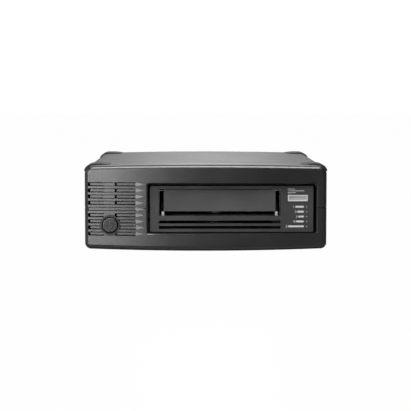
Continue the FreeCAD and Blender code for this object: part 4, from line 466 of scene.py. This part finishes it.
# %% Circuit boards
solder_mask, tree, shader, place = new_finish("green_solder_mask", "#1f5a38", 0.28, IOR=1.5)
tracks = add_node(
    tree, "ShaderNodeTexBrick",
    settings={"offset": 0.37, "offset_frequency": 2, "squash": 1.6, "squash_frequency": 3},
    values={
        "Color1": linear("#1c5233"), "Color2": linear("#1f5937"), "Mortar": linear("#377952"),
        "Scale": 1.0, "Mortar Size": 0.0003, "Mortar Smooth": 0.1,
        "Brick Width": 0.0085, "Row Height": 0.0021,
    },
    links={"Vector": place},
)
tree.links.new(tracks.outputs["Color"], shader.inputs["Base Color"])
add_grain(tree, shader, place, 1.0, 0.01)

# %% [markdown]
# Three nodes hold more than one material: the capacitors have a black sleeve and a bare aluminium
# top, the transformer a taped coil between dark ferrite halves, and the ribbon lead a red first
# wire. A mask on the piece's own coordinates tells the parts apart.


# %% Two-tone pieces
def band_mask(tree, place, axis, low, high):
    """One between two places along an axis, and zero elsewhere."""
    along = add_node(tree, "ShaderNodeSeparateXYZ", links={"Vector": place}).outputs[axis]
    above = add_node(
        tree, "ShaderNodeMath", settings={"operation": "GREATER_THAN"}, values={1: low},
        links={0: along})
    below = add_node(
        tree, "ShaderNodeMath", settings={"operation": "LESS_THAN"}, values={1: high},
        links={0: along})
    both = add_node(
        tree, "ShaderNodeMath", settings={"operation": "MULTIPLY"},
        links={0: above.outputs[0], 1: below.outputs[0]},
    )
    return both.outputs[0]


# The capacitors' sleeves are shrunk on and glossy, and leave the pressed aluminium tops bare.
SLEEVE_ENDS_MM = 0.3
can_low, can_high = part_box("supply_capacitors")
can_sleeve, tree, shader, place = new_finish("sleeved_capacitor", "#1a1a1d", 0.35)
two_tone(
    tree, shader,
    band_mask(tree, place, "Z", can_high.z - SLEEVE_ENDS_MM * MM, can_high.z + MM),
    ("#1a1a1d", "#b4b6b8"))
add_grain(tree, shader, place, 0.9, 0.006)
print("capacitors:", round((can_high.z - can_low.z) / MM, 1), "mm tall")

# The transformer's winding is wrapped in yellow tape, and the dark core covers its middle half.
TAPE_CLEAR_MM = 0.1
core_low, core_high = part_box("supply_transformer")
core_mid = (core_low.y + core_high.y) / 2
core_reach = (core_high.y - core_low.y) / 4 + TAPE_CLEAR_MM * MM
wound_core, tree, shader, place = new_finish("taped_transformer", "#c99d2e", 0.5)
two_tone(tree, shader, band_mask(tree, place, "Y", core_mid - core_reach, core_mid + core_reach),
         ("#caa038", "#3b3b3e"))
add_grain(tree, shader, place, 0.8, 0.015)

# A ribbon lead is grey PVC with a ridge for each wire, the first wire red. The bands of a wave
# texture are pi / 10 over its scale apart.
WIRE_PITCH_MM = 1.27
WIRE_RISE_MM = 0.3
ribbon_low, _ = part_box("data_ribbon")
ribbon_pvc, tree, shader, place = new_finish("ribbon_lead_pvc", "#8f9193", 0.45)
two_tone(
    tree, shader,
    band_mask(tree, place, "X", ribbon_low.x - MM, ribbon_low.x + WIRE_PITCH_MM * MM),
    ("#8f9193", "#a8322c"))
wires = add_node(
    tree, "ShaderNodeTexWave", settings={"bands_direction": "X", "wave_profile": "SIN"},
    values={"Scale": pi / (10 * WIRE_PITCH_MM * MM)}, links={"Vector": place},
)
ridges = add_node(
    tree, "ShaderNodeBump", values={"Strength": 1.0, "Distance": WIRE_RISE_MM * MM},
    links={"Height": wires.outputs["Fac"]},
)
tree.links.new(ridges.outputs["Normal"], shader.inputs["Normal"])

# %% [markdown]
# ## The CAD pieces take their finishes
#
# A node whose shape is right only needs a better material in its slots. This table says which
# finish each node gets, and the loop makes sure that none is left out.

# %% Give every node its finish
FINISHES = (
    (charcoal_abs, ("lower_shell", "upper_shell")),
    (button_abs, ("power_button",)),
    (pad_elastomer, ("stacking_pads", "rubber_feet")),
    (bezel_resin, ("drive_bezel",)),
    (door_resin, ("cartridge_door",)),
    (silver_paint, ("eject_button",)),
    (clear_acrylic, ("light_pipes", "front_lamps")),
    (zinc_sheet, ("rear_panel", "drive_cover", "drive_rails", "port_cages", "port_brackets",
                  "load_motor")),
    (plated_screw, ("case_screws", "fan_screws", "inlet_screws", "supply_screws", "rail_screws",
                    "door_pins", "power_spring", "load_shaft", "roller_posts")),
    # The chassis and the motors are black as painted shade for the dark behind the slots.
    (shade_black_casting, ("drive_base", "supply_motor", "take_up_motor")),
    (die_casting, ("head_base", "head_carriage", "supply_heatsinks",
                   "guide_roller_1", "guide_roller_2", "guide_roller_3", "guide_roller_4")),
    (bare_brass, ("inlet_pins", "motor_pinion")),
    (black_nylon, ("fan_frame", "fan_rotor", "mains_inlet", "port_contacts", "power_switch",
                   "eject_switch", "drive_connector", "cartridge_carriage", "supply_chuck")),
    (natural_acetal, ("load_gear", "take_up_reel", "power_plunger")),
    (lead_jacket, ("inlet_lead",)),
    (lapped_ceramic, ("tape_head",)),
    (ferrite_core, ("supply_choke",)),
    (solder_mask, ("switch_board", "port_board", "supply_board", "front_board", "drive_board")),
    (can_sleeve, ("supply_capacitors",)),
    (wound_core, ("supply_transformer",)),
    (ribbon_pvc, ("data_ribbon",)),
)
dressed = set()
for finish, names in FINISHES:
    for name in names:
        for material_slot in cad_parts[name].material_slots:
            material_slot.material = finish
        dressed.add(name)
print("nodes without a finish:", sorted(set(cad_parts) - dressed))

# %% [markdown]
# ## Modelling helpers
#
# New pieces start from a primitive at its size and place. Faces and edges are then chosen in code
# by where they are, and shaped with edit-mode operators. A finished piece sits at the origin,
# unturned and unscaled, with its place in its mesh.


# %% Start, choose and finish a piece
# Two places closer than a hundredth of a millimetre count as the same, and a face whose normal
# lies this much along an axis counts as facing that way.
NEAR = 0.01 * MM
FACING = 0.9


def only(piece):
    """Makes this piece the one selected and active object."""
    if bpy.context.object and bpy.context.object.mode != "OBJECT":
        bpy.ops.object.mode_set(mode="OBJECT")
    bpy.ops.object.select_all(action="DESELECT")
    piece.select_set(True)
    bpy.context.view_layer.objects.active = piece


def settle(piece, name):
    """Names a piece and moves its place into its mesh."""
    only(piece)
    piece.name = piece.data.name = name
    bpy.ops.object.transform_apply(location=True, rotation=True, scale=True)
    return piece


def add_block(name, low, high):
    """A cube stretched between two corners."""
    bpy.ops.object.select_all(action="DESELECT")
    bpy.ops.mesh.primitive_cube_add(size=1, location=(low + high) / 2, scale=high - low)
    return settle(bpy.context.object, name)


def choose(piece, kind, test):
    """Enters edit mode and selects the faces, edges or vertices that pass a test."""
    only(piece)
    bpy.ops.object.mode_set(mode="EDIT")
    bpy.ops.mesh.select_mode(type=kind)
    bpy.ops.mesh.select_all(action="DESELECT")
    mesh = bmesh.from_edit_mesh(piece.data)
    for item in {"VERT": mesh.verts, "EDGE": mesh.edges, "FACE": mesh.faces}[kind]:
        if test(item):
            item.select_set(True)
    mesh.select_flush_mode()
    bmesh.update_edit_mesh(piece.data)


def leave_edit():
    """Writes the edited mesh back to its object."""
    bpy.ops.object.mode_set(mode="OBJECT")


SMOOTH_UNDER = radians(35)


def round_corners(piece, width_mm, segments=2, angle=30):
    """A bevel on every edge sharper than the angle in degrees, as a moulding has."""
    only(piece)
    bevel = piece.modifiers.new("rounding", "BEVEL")
    bevel.width = width_mm * MM
    bevel.segments = segments
    bevel.limit_method = "ANGLE"
    bevel.angle_limit = radians(angle)
    bevel.harden_normals = False
    bpy.ops.object.modifier_apply(modifier=bevel.name)
    bpy.ops.object.shade_smooth_by_angle(angle=SMOOTH_UNDER)


def join_pieces(name, pieces):
    """One piece out of several, under a new name."""
    only(pieces[0])
    for piece in pieces[1:]:
        piece.select_set(True)
    bpy.ops.object.join()
    return settle(bpy.context.object, name)


def dress(piece, finish, body):
    """Gives a new piece its finish and its body."""
    if finish is not None:
        piece.data.materials.clear()
        piece.data.materials.append(finish)
    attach(piece, body)
    print(piece.name, "faces:", len(piece.data.polygons))


# %% [markdown]
# ## Eject button
#
# The button is a small bar with a raised painted rim round a duller field. On the real drive it is
# one moulding on a flange that stops it behind the bezel. We inset the front face, push the field
# back, and round the rim, which gives the bright frame that the eye picks out.

# %% Eject button
BUTTON_RIM_MM = 1.0
BUTTON_DISH_MM = 0.35
FLANGE_REACH_MM = 1.2
FLANGE_T_MM = 1.0
CAP_ENDS_MM = 1.9
OVERLAP_MM = 0.05
# Faces deeper than this share of the dish belong to the field.
FIELD_FROM = 0.9

button_low, button_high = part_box("eject_button")
cap_low = button_low + mm(FLANGE_REACH_MM, 0, FLANGE_REACH_MM)
cap_high = button_high - mm(FLANGE_REACH_MM, CAP_ENDS_MM, FLANGE_REACH_MM)
eject_cap = add_block("eject_cap", cap_low, cap_high)
choose(eject_cap, "FACE", lambda face: face.normal.y < -FACING)
bpy.ops.mesh.inset(thickness=BUTTON_RIM_MM * MM)
bpy.ops.mesh.extrude_region_move(
    TRANSFORM_OT_translate={"value": (0, BUTTON_DISH_MM * MM, 0)})
leave_edit()
round_corners(eject_cap, 0.22, 3)
eject_cap.data.materials.append(silver_paint)
eject_cap.data.materials.append(field_paint)
for face in eject_cap.data.polygons:
    in_dish = face.center.y > cap_low.y + FIELD_FROM * BUTTON_DISH_MM * MM
    if face.normal.y < -FACING and in_dish:
        face.material_index = 1
flange = add_block(
    "eject_flange",
    Vector((button_low.x, cap_high.y - OVERLAP_MM * MM, button_low.z)),
    Vector((button_high.x, cap_high.y + FLANGE_T_MM * MM, button_high.z)),
)
round_corners(flange, 0.15)
flange.data.materials.append(silver_paint)
eject_button = join_pieces("eject_button_painted", [eject_cap, flange])
dress(eject_button, None, "eject_button")
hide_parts("eject_button")

# %% [markdown]
# ## Marks beside the lamps
#
# Five lamps stand in a column, each with a printed mark to its left. Here the marks are generic:
# a numeral and a bar as long as a printed word would be, and three plain lines over the eject
# button. A text object is made a mesh before its place is applied, and the ink stands a few
# hundredths of a millimetre off the bezel.

# %% Lamp marks
MARK_LENGTHS_MM = (16.3, 9.5, 7.2, 8.1, 9.8)
MARK_RIGHT_GAP_MM = 2.7
NUMERAL_MM = 3.1
NUMERAL_ROOM_MM = 2.3
BAR_H_MM = 1.6
BAR_ROUND_MM = 0.35
INK_MM = 0.04
LAMP_H_MM = 1.0
# A digit's middle lies at this share of the text size above the line it stands on.
DIGIT_MIDDLE = 0.36

lamp_low, lamp_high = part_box("light_pipes")
bezel_low, bezel_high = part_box("drive_bezel")
lamp_x = (lamp_low.x + lamp_high.x) / 2
lamp_pitch = (lamp_high.z - lamp_low.z - LAMP_H_MM * MM) / (len(MARK_LENGTHS_MM) - 1)
marks = []
for row, length in enumerate(MARK_LENGTHS_MM):
    z = lamp_low.z + LAMP_H_MM / 2 * MM + lamp_pitch * row
    right = lamp_x - MARK_RIGHT_GAP_MM * MM
    bar = add_block(
        "bar",
        Vector((right - (length - NUMERAL_ROOM_MM) * MM, bezel_low.y - INK_MM * MM,
                z - BAR_H_MM / 2 * MM)),
        Vector((right, bezel_low.y + INK_MM * MM, z + BAR_H_MM / 2 * MM)),
    )
    choose(bar, "EDGE", lambda edge: abs(edge.verts[0].co.y - edge.verts[1].co.y) > INK_MM * MM)
    bpy.ops.mesh.bevel(offset=BAR_ROUND_MM * MM, segments=3)
    leave_edit()
    marks.append(bar)
    bpy.ops.object.select_all(action="DESELECT")
    bpy.ops.object.text_add(
        location=(right - length * MM, bezel_low.y, z - DIGIT_MIDDLE * NUMERAL_MM * MM),
        rotation=(pi / 2, 0, 0),
    )
    numeral = bpy.context.object
    numeral.data.body = str(len(MARK_LENGTHS_MM) - row)
    numeral.data.size = NUMERAL_MM * MM
    numeral.data.extrude = INK_MM * MM
    bpy.ops.object.convert(target="MESH")
    marks.append(settle(bpy.context.object, "numeral"))

LINE_LENGTHS_MM = (6.2, 14.6, 7.2)
LINE_TOP_MM = 5.2
LINE_PITCH_MM = 1.7
LINE_H_MM = 0.55
for row, length in enumerate(LINE_LENGTHS_MM):
    z = cap_high.z + (LINE_TOP_MM - row * LINE_PITCH_MM) * MM
    marks.append(add_block(
        "line",
        Vector((cap_low.x, bezel_low.y - INK_MM * MM, z)),
        Vector((cap_low.x + length * MM, bezel_low.y + INK_MM * MM, z + LINE_H_MM * MM)),
    ))
lamp_marks = join_pieces("lamp_marks", marks)
dress(lamp_marks, legend_ink, "case")

# %% [markdown]
# ## Power mark
#
# The power button carries the usual on and off mark in low relief: an open ring with a short bar
# in its gap. A torus loses the faces of its gap, the two open ends are filled, and a rounded block
# makes the bar.

# %% Power mark
RING_R_MM = 2.6
RING_WIRE_MM = 0.4
RING_GAP_DEG = 36
BAR_FOOT_MM = 0.7
BAR_HEAD_MM = 3.3
RELIEF_SMOOTH_UNDER = radians(40)

power_low, power_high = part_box("power_button")
power_x = (power_low.x + power_high.x) / 2
power_z = (power_low.z + power_high.z) / 2
mark_middle = Vector((power_x, power_low.y, power_z))
bpy.ops.object.select_all(action="DESELECT")
bpy.ops.mesh.primitive_torus_add(
    location=mark_middle, rotation=(pi / 2, 0, 0), major_segments=40, minor_segments=10,
    major_radius=RING_R_MM * MM, minor_radius=RING_WIRE_MM * MM,
)
ring = settle(bpy.context.object, "power_ring")
gap_cos = cos(radians(RING_GAP_DEG))


def in_gap(face):
    """Whether a face of the ring lies in its open top."""
    reach = face.calc_center_median() - mark_middle
    return reach.z / (reach.x ** 2 + reach.z ** 2) ** 0.5 > gap_cos


choose(ring, "FACE", in_gap)
bpy.ops.mesh.delete(type="FACE")
bpy.ops.mesh.select_all(action="SELECT")
bpy.ops.mesh.fill_holes(sides=0)
leave_edit()
bar = add_block(
    "power_bar",
    mark_middle + mm(-RING_WIRE_MM, -RING_WIRE_MM, BAR_FOOT_MM),
    mark_middle + mm(RING_WIRE_MM, RING_WIRE_MM, BAR_HEAD_MM),
)
round_corners(bar, 0.12)
power_mark = join_pieces("power_mark", [ring, bar])
bpy.ops.object.shade_smooth_by_angle(angle=RELIEF_SMOOTH_UNDER)
dress(power_mark, charcoal_abs, "power_button")

# %% [markdown]
# ## Slot fittings
#
# Two thin guide strips stand against the slot's ends, and under the door's lower corners two grey
# acetal posts centre the cartridge as it comes in. They are what catches the light in the dark of
# the slot. Each is a block, its top edges bevelled to lead the cartridge in.

# %% Guide strips and posts
SLOT_LEFT_MM = 8.1
SLOT_W_MM = 109.8
SLOT_H_MM = 24.0
SLOT_TOP_MM = 3.1
BEHIND_BEZEL_MM = 1.0
STRIP_T_MM = 0.4
STRIP_FROM_WALL_MM = 0.5
STRIP_DEPTH_MM = 3.0

door_low, door_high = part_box("cartridge_door")
slot_low_x = bezel_low.x + SLOT_LEFT_MM * MM
slot_high_x = slot_low_x + SLOT_W_MM * MM
slot_top = bezel_high.z - SLOT_TOP_MM * MM
slot_floor = slot_top - SLOT_H_MM * MM
fittings_y = bezel_low.y + BEHIND_BEZEL_MM * MM
strips = []
for x in (slot_low_x + STRIP_FROM_WALL_MM * MM, slot_high_x - STRIP_FROM_WALL_MM * MM):
    strip = add_block(
        "strip",
        Vector((x - STRIP_T_MM / 2 * MM, fittings_y, slot_floor)),
        Vector((x + STRIP_T_MM / 2 * MM, fittings_y + STRIP_DEPTH_MM * MM, slot_top)),
    )
    round_corners(strip, 0.1)
    strips.append(strip)
guide_strips = join_pieces("slot_guide_strips", strips)
dress(guide_strips, door_resin, "case")

POST_W_MM = 2.4
POST_D_MM = 3.4
POST_LEAD_MM = 0.8
POST_LEFT_OF_DOOR_MM = 0.8
POST_RIGHT_OF_DOOR_MM = 0.9
POST_UNDER_DOOR_MM = 0.3

post_top = door_low.z - POST_UNDER_DOOR_MM * MM
posts = []
for x in (door_low.x - POST_LEFT_OF_DOOR_MM * MM, door_high.x + POST_RIGHT_OF_DOOR_MM * MM):
    post = add_block(
        "post",
        Vector((x - POST_W_MM / 2 * MM, fittings_y, slot_floor)),
        Vector((x + POST_W_MM / 2 * MM, fittings_y + POST_D_MM * MM, post_top)),
    )
    choose(post, "EDGE", lambda edge: min(vert.co.z for vert in edge.verts) > post_top - NEAR)
    bpy.ops.mesh.bevel(offset=POST_LEAD_MM * MM, segments=4)
    leave_edit()
    round_corners(post, 0.15)
    posts.append(post)
slot_posts = join_pieces("slot_corner_posts", posts)
dress(slot_posts, grey_acetal, "case")

# %% [markdown]
# ## Lip under the drive
#
# The case's mouth has a plain bevel in the CAD model. On the real case its lower edge is a flat
# lip that follows the bow of the front and hides that bevel. A long block is cut into short
# lengths, and each ring of cuts is moved back by the bow at its place. Each such strip is given by
# its ends, its height and how far behind the bowed skin it starts and ends.

# %% Mouth lip
FRONT_BOW_MM = 6.0
MOUTH_BEVEL_MM = 1.4
GAP_BELOW_MM = 0.7
GAP_LEFT_MM = 1.5
GAP_RIGHT_MM = 2.7
LIP_PAST_MM = 1.2
LIP_H_MM = 1.55
LIP_DEPTHS_MM = (0.01, 2.2)
LIP_CUTS = 15

case_low, case_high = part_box("lower_shell")
half_width = case_high.x
bow_radius = (half_width ** 2 + (FRONT_BOW_MM * MM) ** 2) / (2 * FRONT_BOW_MM * MM)


def front_y(x):
    """Where the bowed front stands at a place across it."""
    return case_low.y + bow_radius - (bow_radius ** 2 - x ** 2) ** 0.5


def add_bowed_strip(name, left, right, low, high, depths_mm, cuts):
    """A strip across the front between two depths behind the bowed skin."""
    near, far = depths_mm
    strip = add_block(name, Vector((left, near * MM, low)), Vector((right, far * MM, high)))
    half = (right - left) / 2
    choose(strip, "EDGE", lambda edge: abs(edge.verts[0].co.x - edge.verts[1].co.x) > half)
    bpy.ops.mesh.subdivide(number_cuts=cuts)
    leave_edit()
    step = (right - left) / (cuts + 1)
    for cut in range(cuts + 2):
        x = left + step * cut
        choose(strip, "VERT", lambda vert: abs(vert.co.x - x) < step / 4)
        bpy.ops.transform.translate(value=(0, front_y(x), 0))
        leave_edit()
    return strip


lip_left = bezel_low.x - GAP_LEFT_MM * MM
lip_right = bezel_high.x + GAP_RIGHT_MM * MM
lip_top = bezel_low.z - GAP_BELOW_MM * MM
lip = add_bowed_strip(
    "mouth_lip", lip_left - LIP_PAST_MM * MM, lip_right + LIP_PAST_MM * MM,
    lip_top - LIP_H_MM * MM, lip_top, LIP_DEPTHS_MM, LIP_CUTS)
round_corners(lip, 0.08)
dress(lip, charcoal_abs, "case")

# %% [markdown]
# ## Seam
#
# Where the two shells meet there is a fine groove. A black strip laid in it is painted shade,
# which draws the groove's dark line on both sides of the drive. It follows the bow as the lip
# does.

# %% Seam shade strip
SEAM_H_MM = 0.68
SEAM_DEPTHS_MM = (0.2, 1.1)
SEAM_LEFT_MM = 3.6
SEAM_RIGHT_END_MM = 4.0
SHORT_CUTS = 3

seam_low = case_high.z - SEAM_H_MM / 2 * MM
seam_runs = (
    (lip_left - SEAM_LEFT_MM * MM, lip_left - MOUTH_BEVEL_MM * MM),
    (lip_right + MOUTH_BEVEL_MM * MM, half_width - SEAM_RIGHT_END_MM * MM),
)
seams = []
for left, right in seam_runs:
    seam = add_bowed_strip(
        "seam", left, right, seam_low, seam_low + SEAM_H_MM * MM, SEAM_DEPTHS_MM, SHORT_CUTS)
    round_corners(seam, 0.1)
    seams.append(seam)
seam_shade_strip = join_pieces("case_seam_painted_shade", seams)
# The black strip is painted shade in the seam's groove.
dress(seam_shade_strip, groove_shade_black, "case")

# %% [markdown]
# ## Groove shade strips
#
# Between the grille's two runs of slots each groove carries on as a pair of fine recesses round a
# block, and the groove at the seam has them along its whole length. A matt black strip in each is
# painted shade, so they read as dark lines. Each strip follows the bow, a little behind the skin.

# %% Groove shade strips
GROOVE_FIRST_MM = 15.6
GROOVE_PITCH_MM = 5.56
GROOVE_COUNT = 9
GROOVE_HALF_MM = 1.85
SEAM_GROOVE = 4
SHADE_STRIP_H_MM = 0.6
SHADE_STRIP_DEPTHS_MM = (0.25, 0.95)
LONG_CUTS = 11
GRILLE_LEFT_MM = -105.9
BLOCK_LEFT_MM = -91.7
BLOCK_RIGHT_MM = -81.8
GRILLE_RIGHT_MM = -63.0

shade_strips = []
for groove in range(SEAM_GROOVE, GROOVE_COUNT):
    z = case_low.z + (GROOVE_FIRST_MM + GROOVE_PITCH_MM * groove) * MM
    whole = groove == SEAM_GROOVE
    left = (GRILLE_LEFT_MM if whole else BLOCK_LEFT_MM) * MM
    right = (GRILLE_RIGHT_MM if whole else BLOCK_RIGHT_MM) * MM
    for low in (z + (GROOVE_HALF_MM - SHADE_STRIP_H_MM) * MM, z - GROOVE_HALF_MM * MM):
        shade_strip = add_bowed_strip(
            "shade_strip", left, right, low, low + SHADE_STRIP_H_MM * MM, SHADE_STRIP_DEPTHS_MM,
            LONG_CUTS if whole else SHORT_CUTS)
        round_corners(shade_strip, 0.08)
        shade_strips.append(shade_strip)
groove_shade_strips = join_pieces("grille_groove_painted_shade", shade_strips)
# These black strips are painted shade in the grille's recesses.
dress(groove_shade_strips, groove_shade_black, "case")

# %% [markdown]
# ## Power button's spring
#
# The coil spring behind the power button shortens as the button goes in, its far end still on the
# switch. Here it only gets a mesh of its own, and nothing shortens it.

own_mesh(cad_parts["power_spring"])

# %% [markdown]
# ## Stacking pads
#
# A pad is a soft moulding let into each top corner, so that a second unit can stand on the first.
# It wraps over the case's edge, a little proud of it, and its top is slightly domed. Each starts
# as a block. Its outer top edge is bevelled to the round of the case's shoulder, its top is cut
# lengthwise and each cut is lowered to the dome, and its hidden lower inside is sliced off.

# %% Stacking pads
PAD_WIDTH_MM = 23.0
FRONT_PAD_MM = 28.0
REAR_PAD_MM = 33.0
PAD_SHOULDER_MM = 9.0
PAD_CREST_MM = 12.5
PAD_DOME_SAG_MM = 0.95
PAD_CUTS = 9
PAD_INNER_T_MM = 2.6
PAD_BELLY_SLOPE = 0.2

pads_low, pads_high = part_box("stacking_pads")


def on_pad_top(vert):
    """Whether a corner lies in the plane of the pads' top."""
    return vert.co.z > pads_high.z - NEAR


def add_pad(side, front, rear):
    """One pad: side is 1 on the right and -1 on the left."""
    outer = pads_high.x
    inner = outer - PAD_WIDTH_MM * MM
    xs = sorted((side * inner, side * outer))
    pad = add_block("pad", Vector((xs[0], front, pads_low.z)), Vector((xs[1], rear, pads_high.z)))
    choose(pad, "EDGE", lambda edge: all(
        vert.co.x * side > outer - NEAR and on_pad_top(vert) for vert in edge.verts))
    bpy.ops.mesh.bevel(offset=PAD_SHOULDER_MM * MM, segments=9)
    leave_edit()
    for cut in range(1, PAD_CUTS + 1):
        x = inner + (PAD_WIDTH_MM - PAD_SHOULDER_MM) * MM * cut / (PAD_CUTS + 1)
        choose(pad, "FACE", lambda face: True)
        bpy.ops.mesh.bisect(plane_co=(side * x, 0, 0), plane_no=(1, 0, 0))
        leave_edit()
    crest = outer - PAD_CREST_MM * MM
    places = {round(abs(vert.co.x), 6) for vert in pad.data.vertices if on_pad_top(vert)}
    for x in sorted(places):
        drop = PAD_DOME_SAG_MM * MM * ((x - crest) / (crest - inner)) ** 2
        choose(pad, "VERT", lambda vert: abs(abs(vert.co.x) - x) < NEAR and on_pad_top(vert))
        bpy.ops.transform.translate(value=(0, 0, -drop))
        leave_edit()
    choose(pad, "FACE", lambda face: True)
    bpy.ops.mesh.bisect(
        plane_co=(side * inner, 0, pads_high.z - PAD_INNER_T_MM * MM),
        plane_no=(side * PAD_BELLY_SLOPE, 0, 1), clear_inner=True, use_fill=True)
    leave_edit()
    round_corners(pad, 0.5, 3, 50)
    return pad


pad_rows = (
    (pads_low.y, pads_low.y + FRONT_PAD_MM * MM), (pads_high.y - REAR_PAD_MM * MM, pads_high.y))
pads = [add_pad(side, front, rear) for side in (-1, 1) for front, rear in pad_rows]
stacking_pads = join_pieces("stacking_pads_moulded", pads)
dress(stacking_pads, pad_elastomer, "case")
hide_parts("stacking_pads")
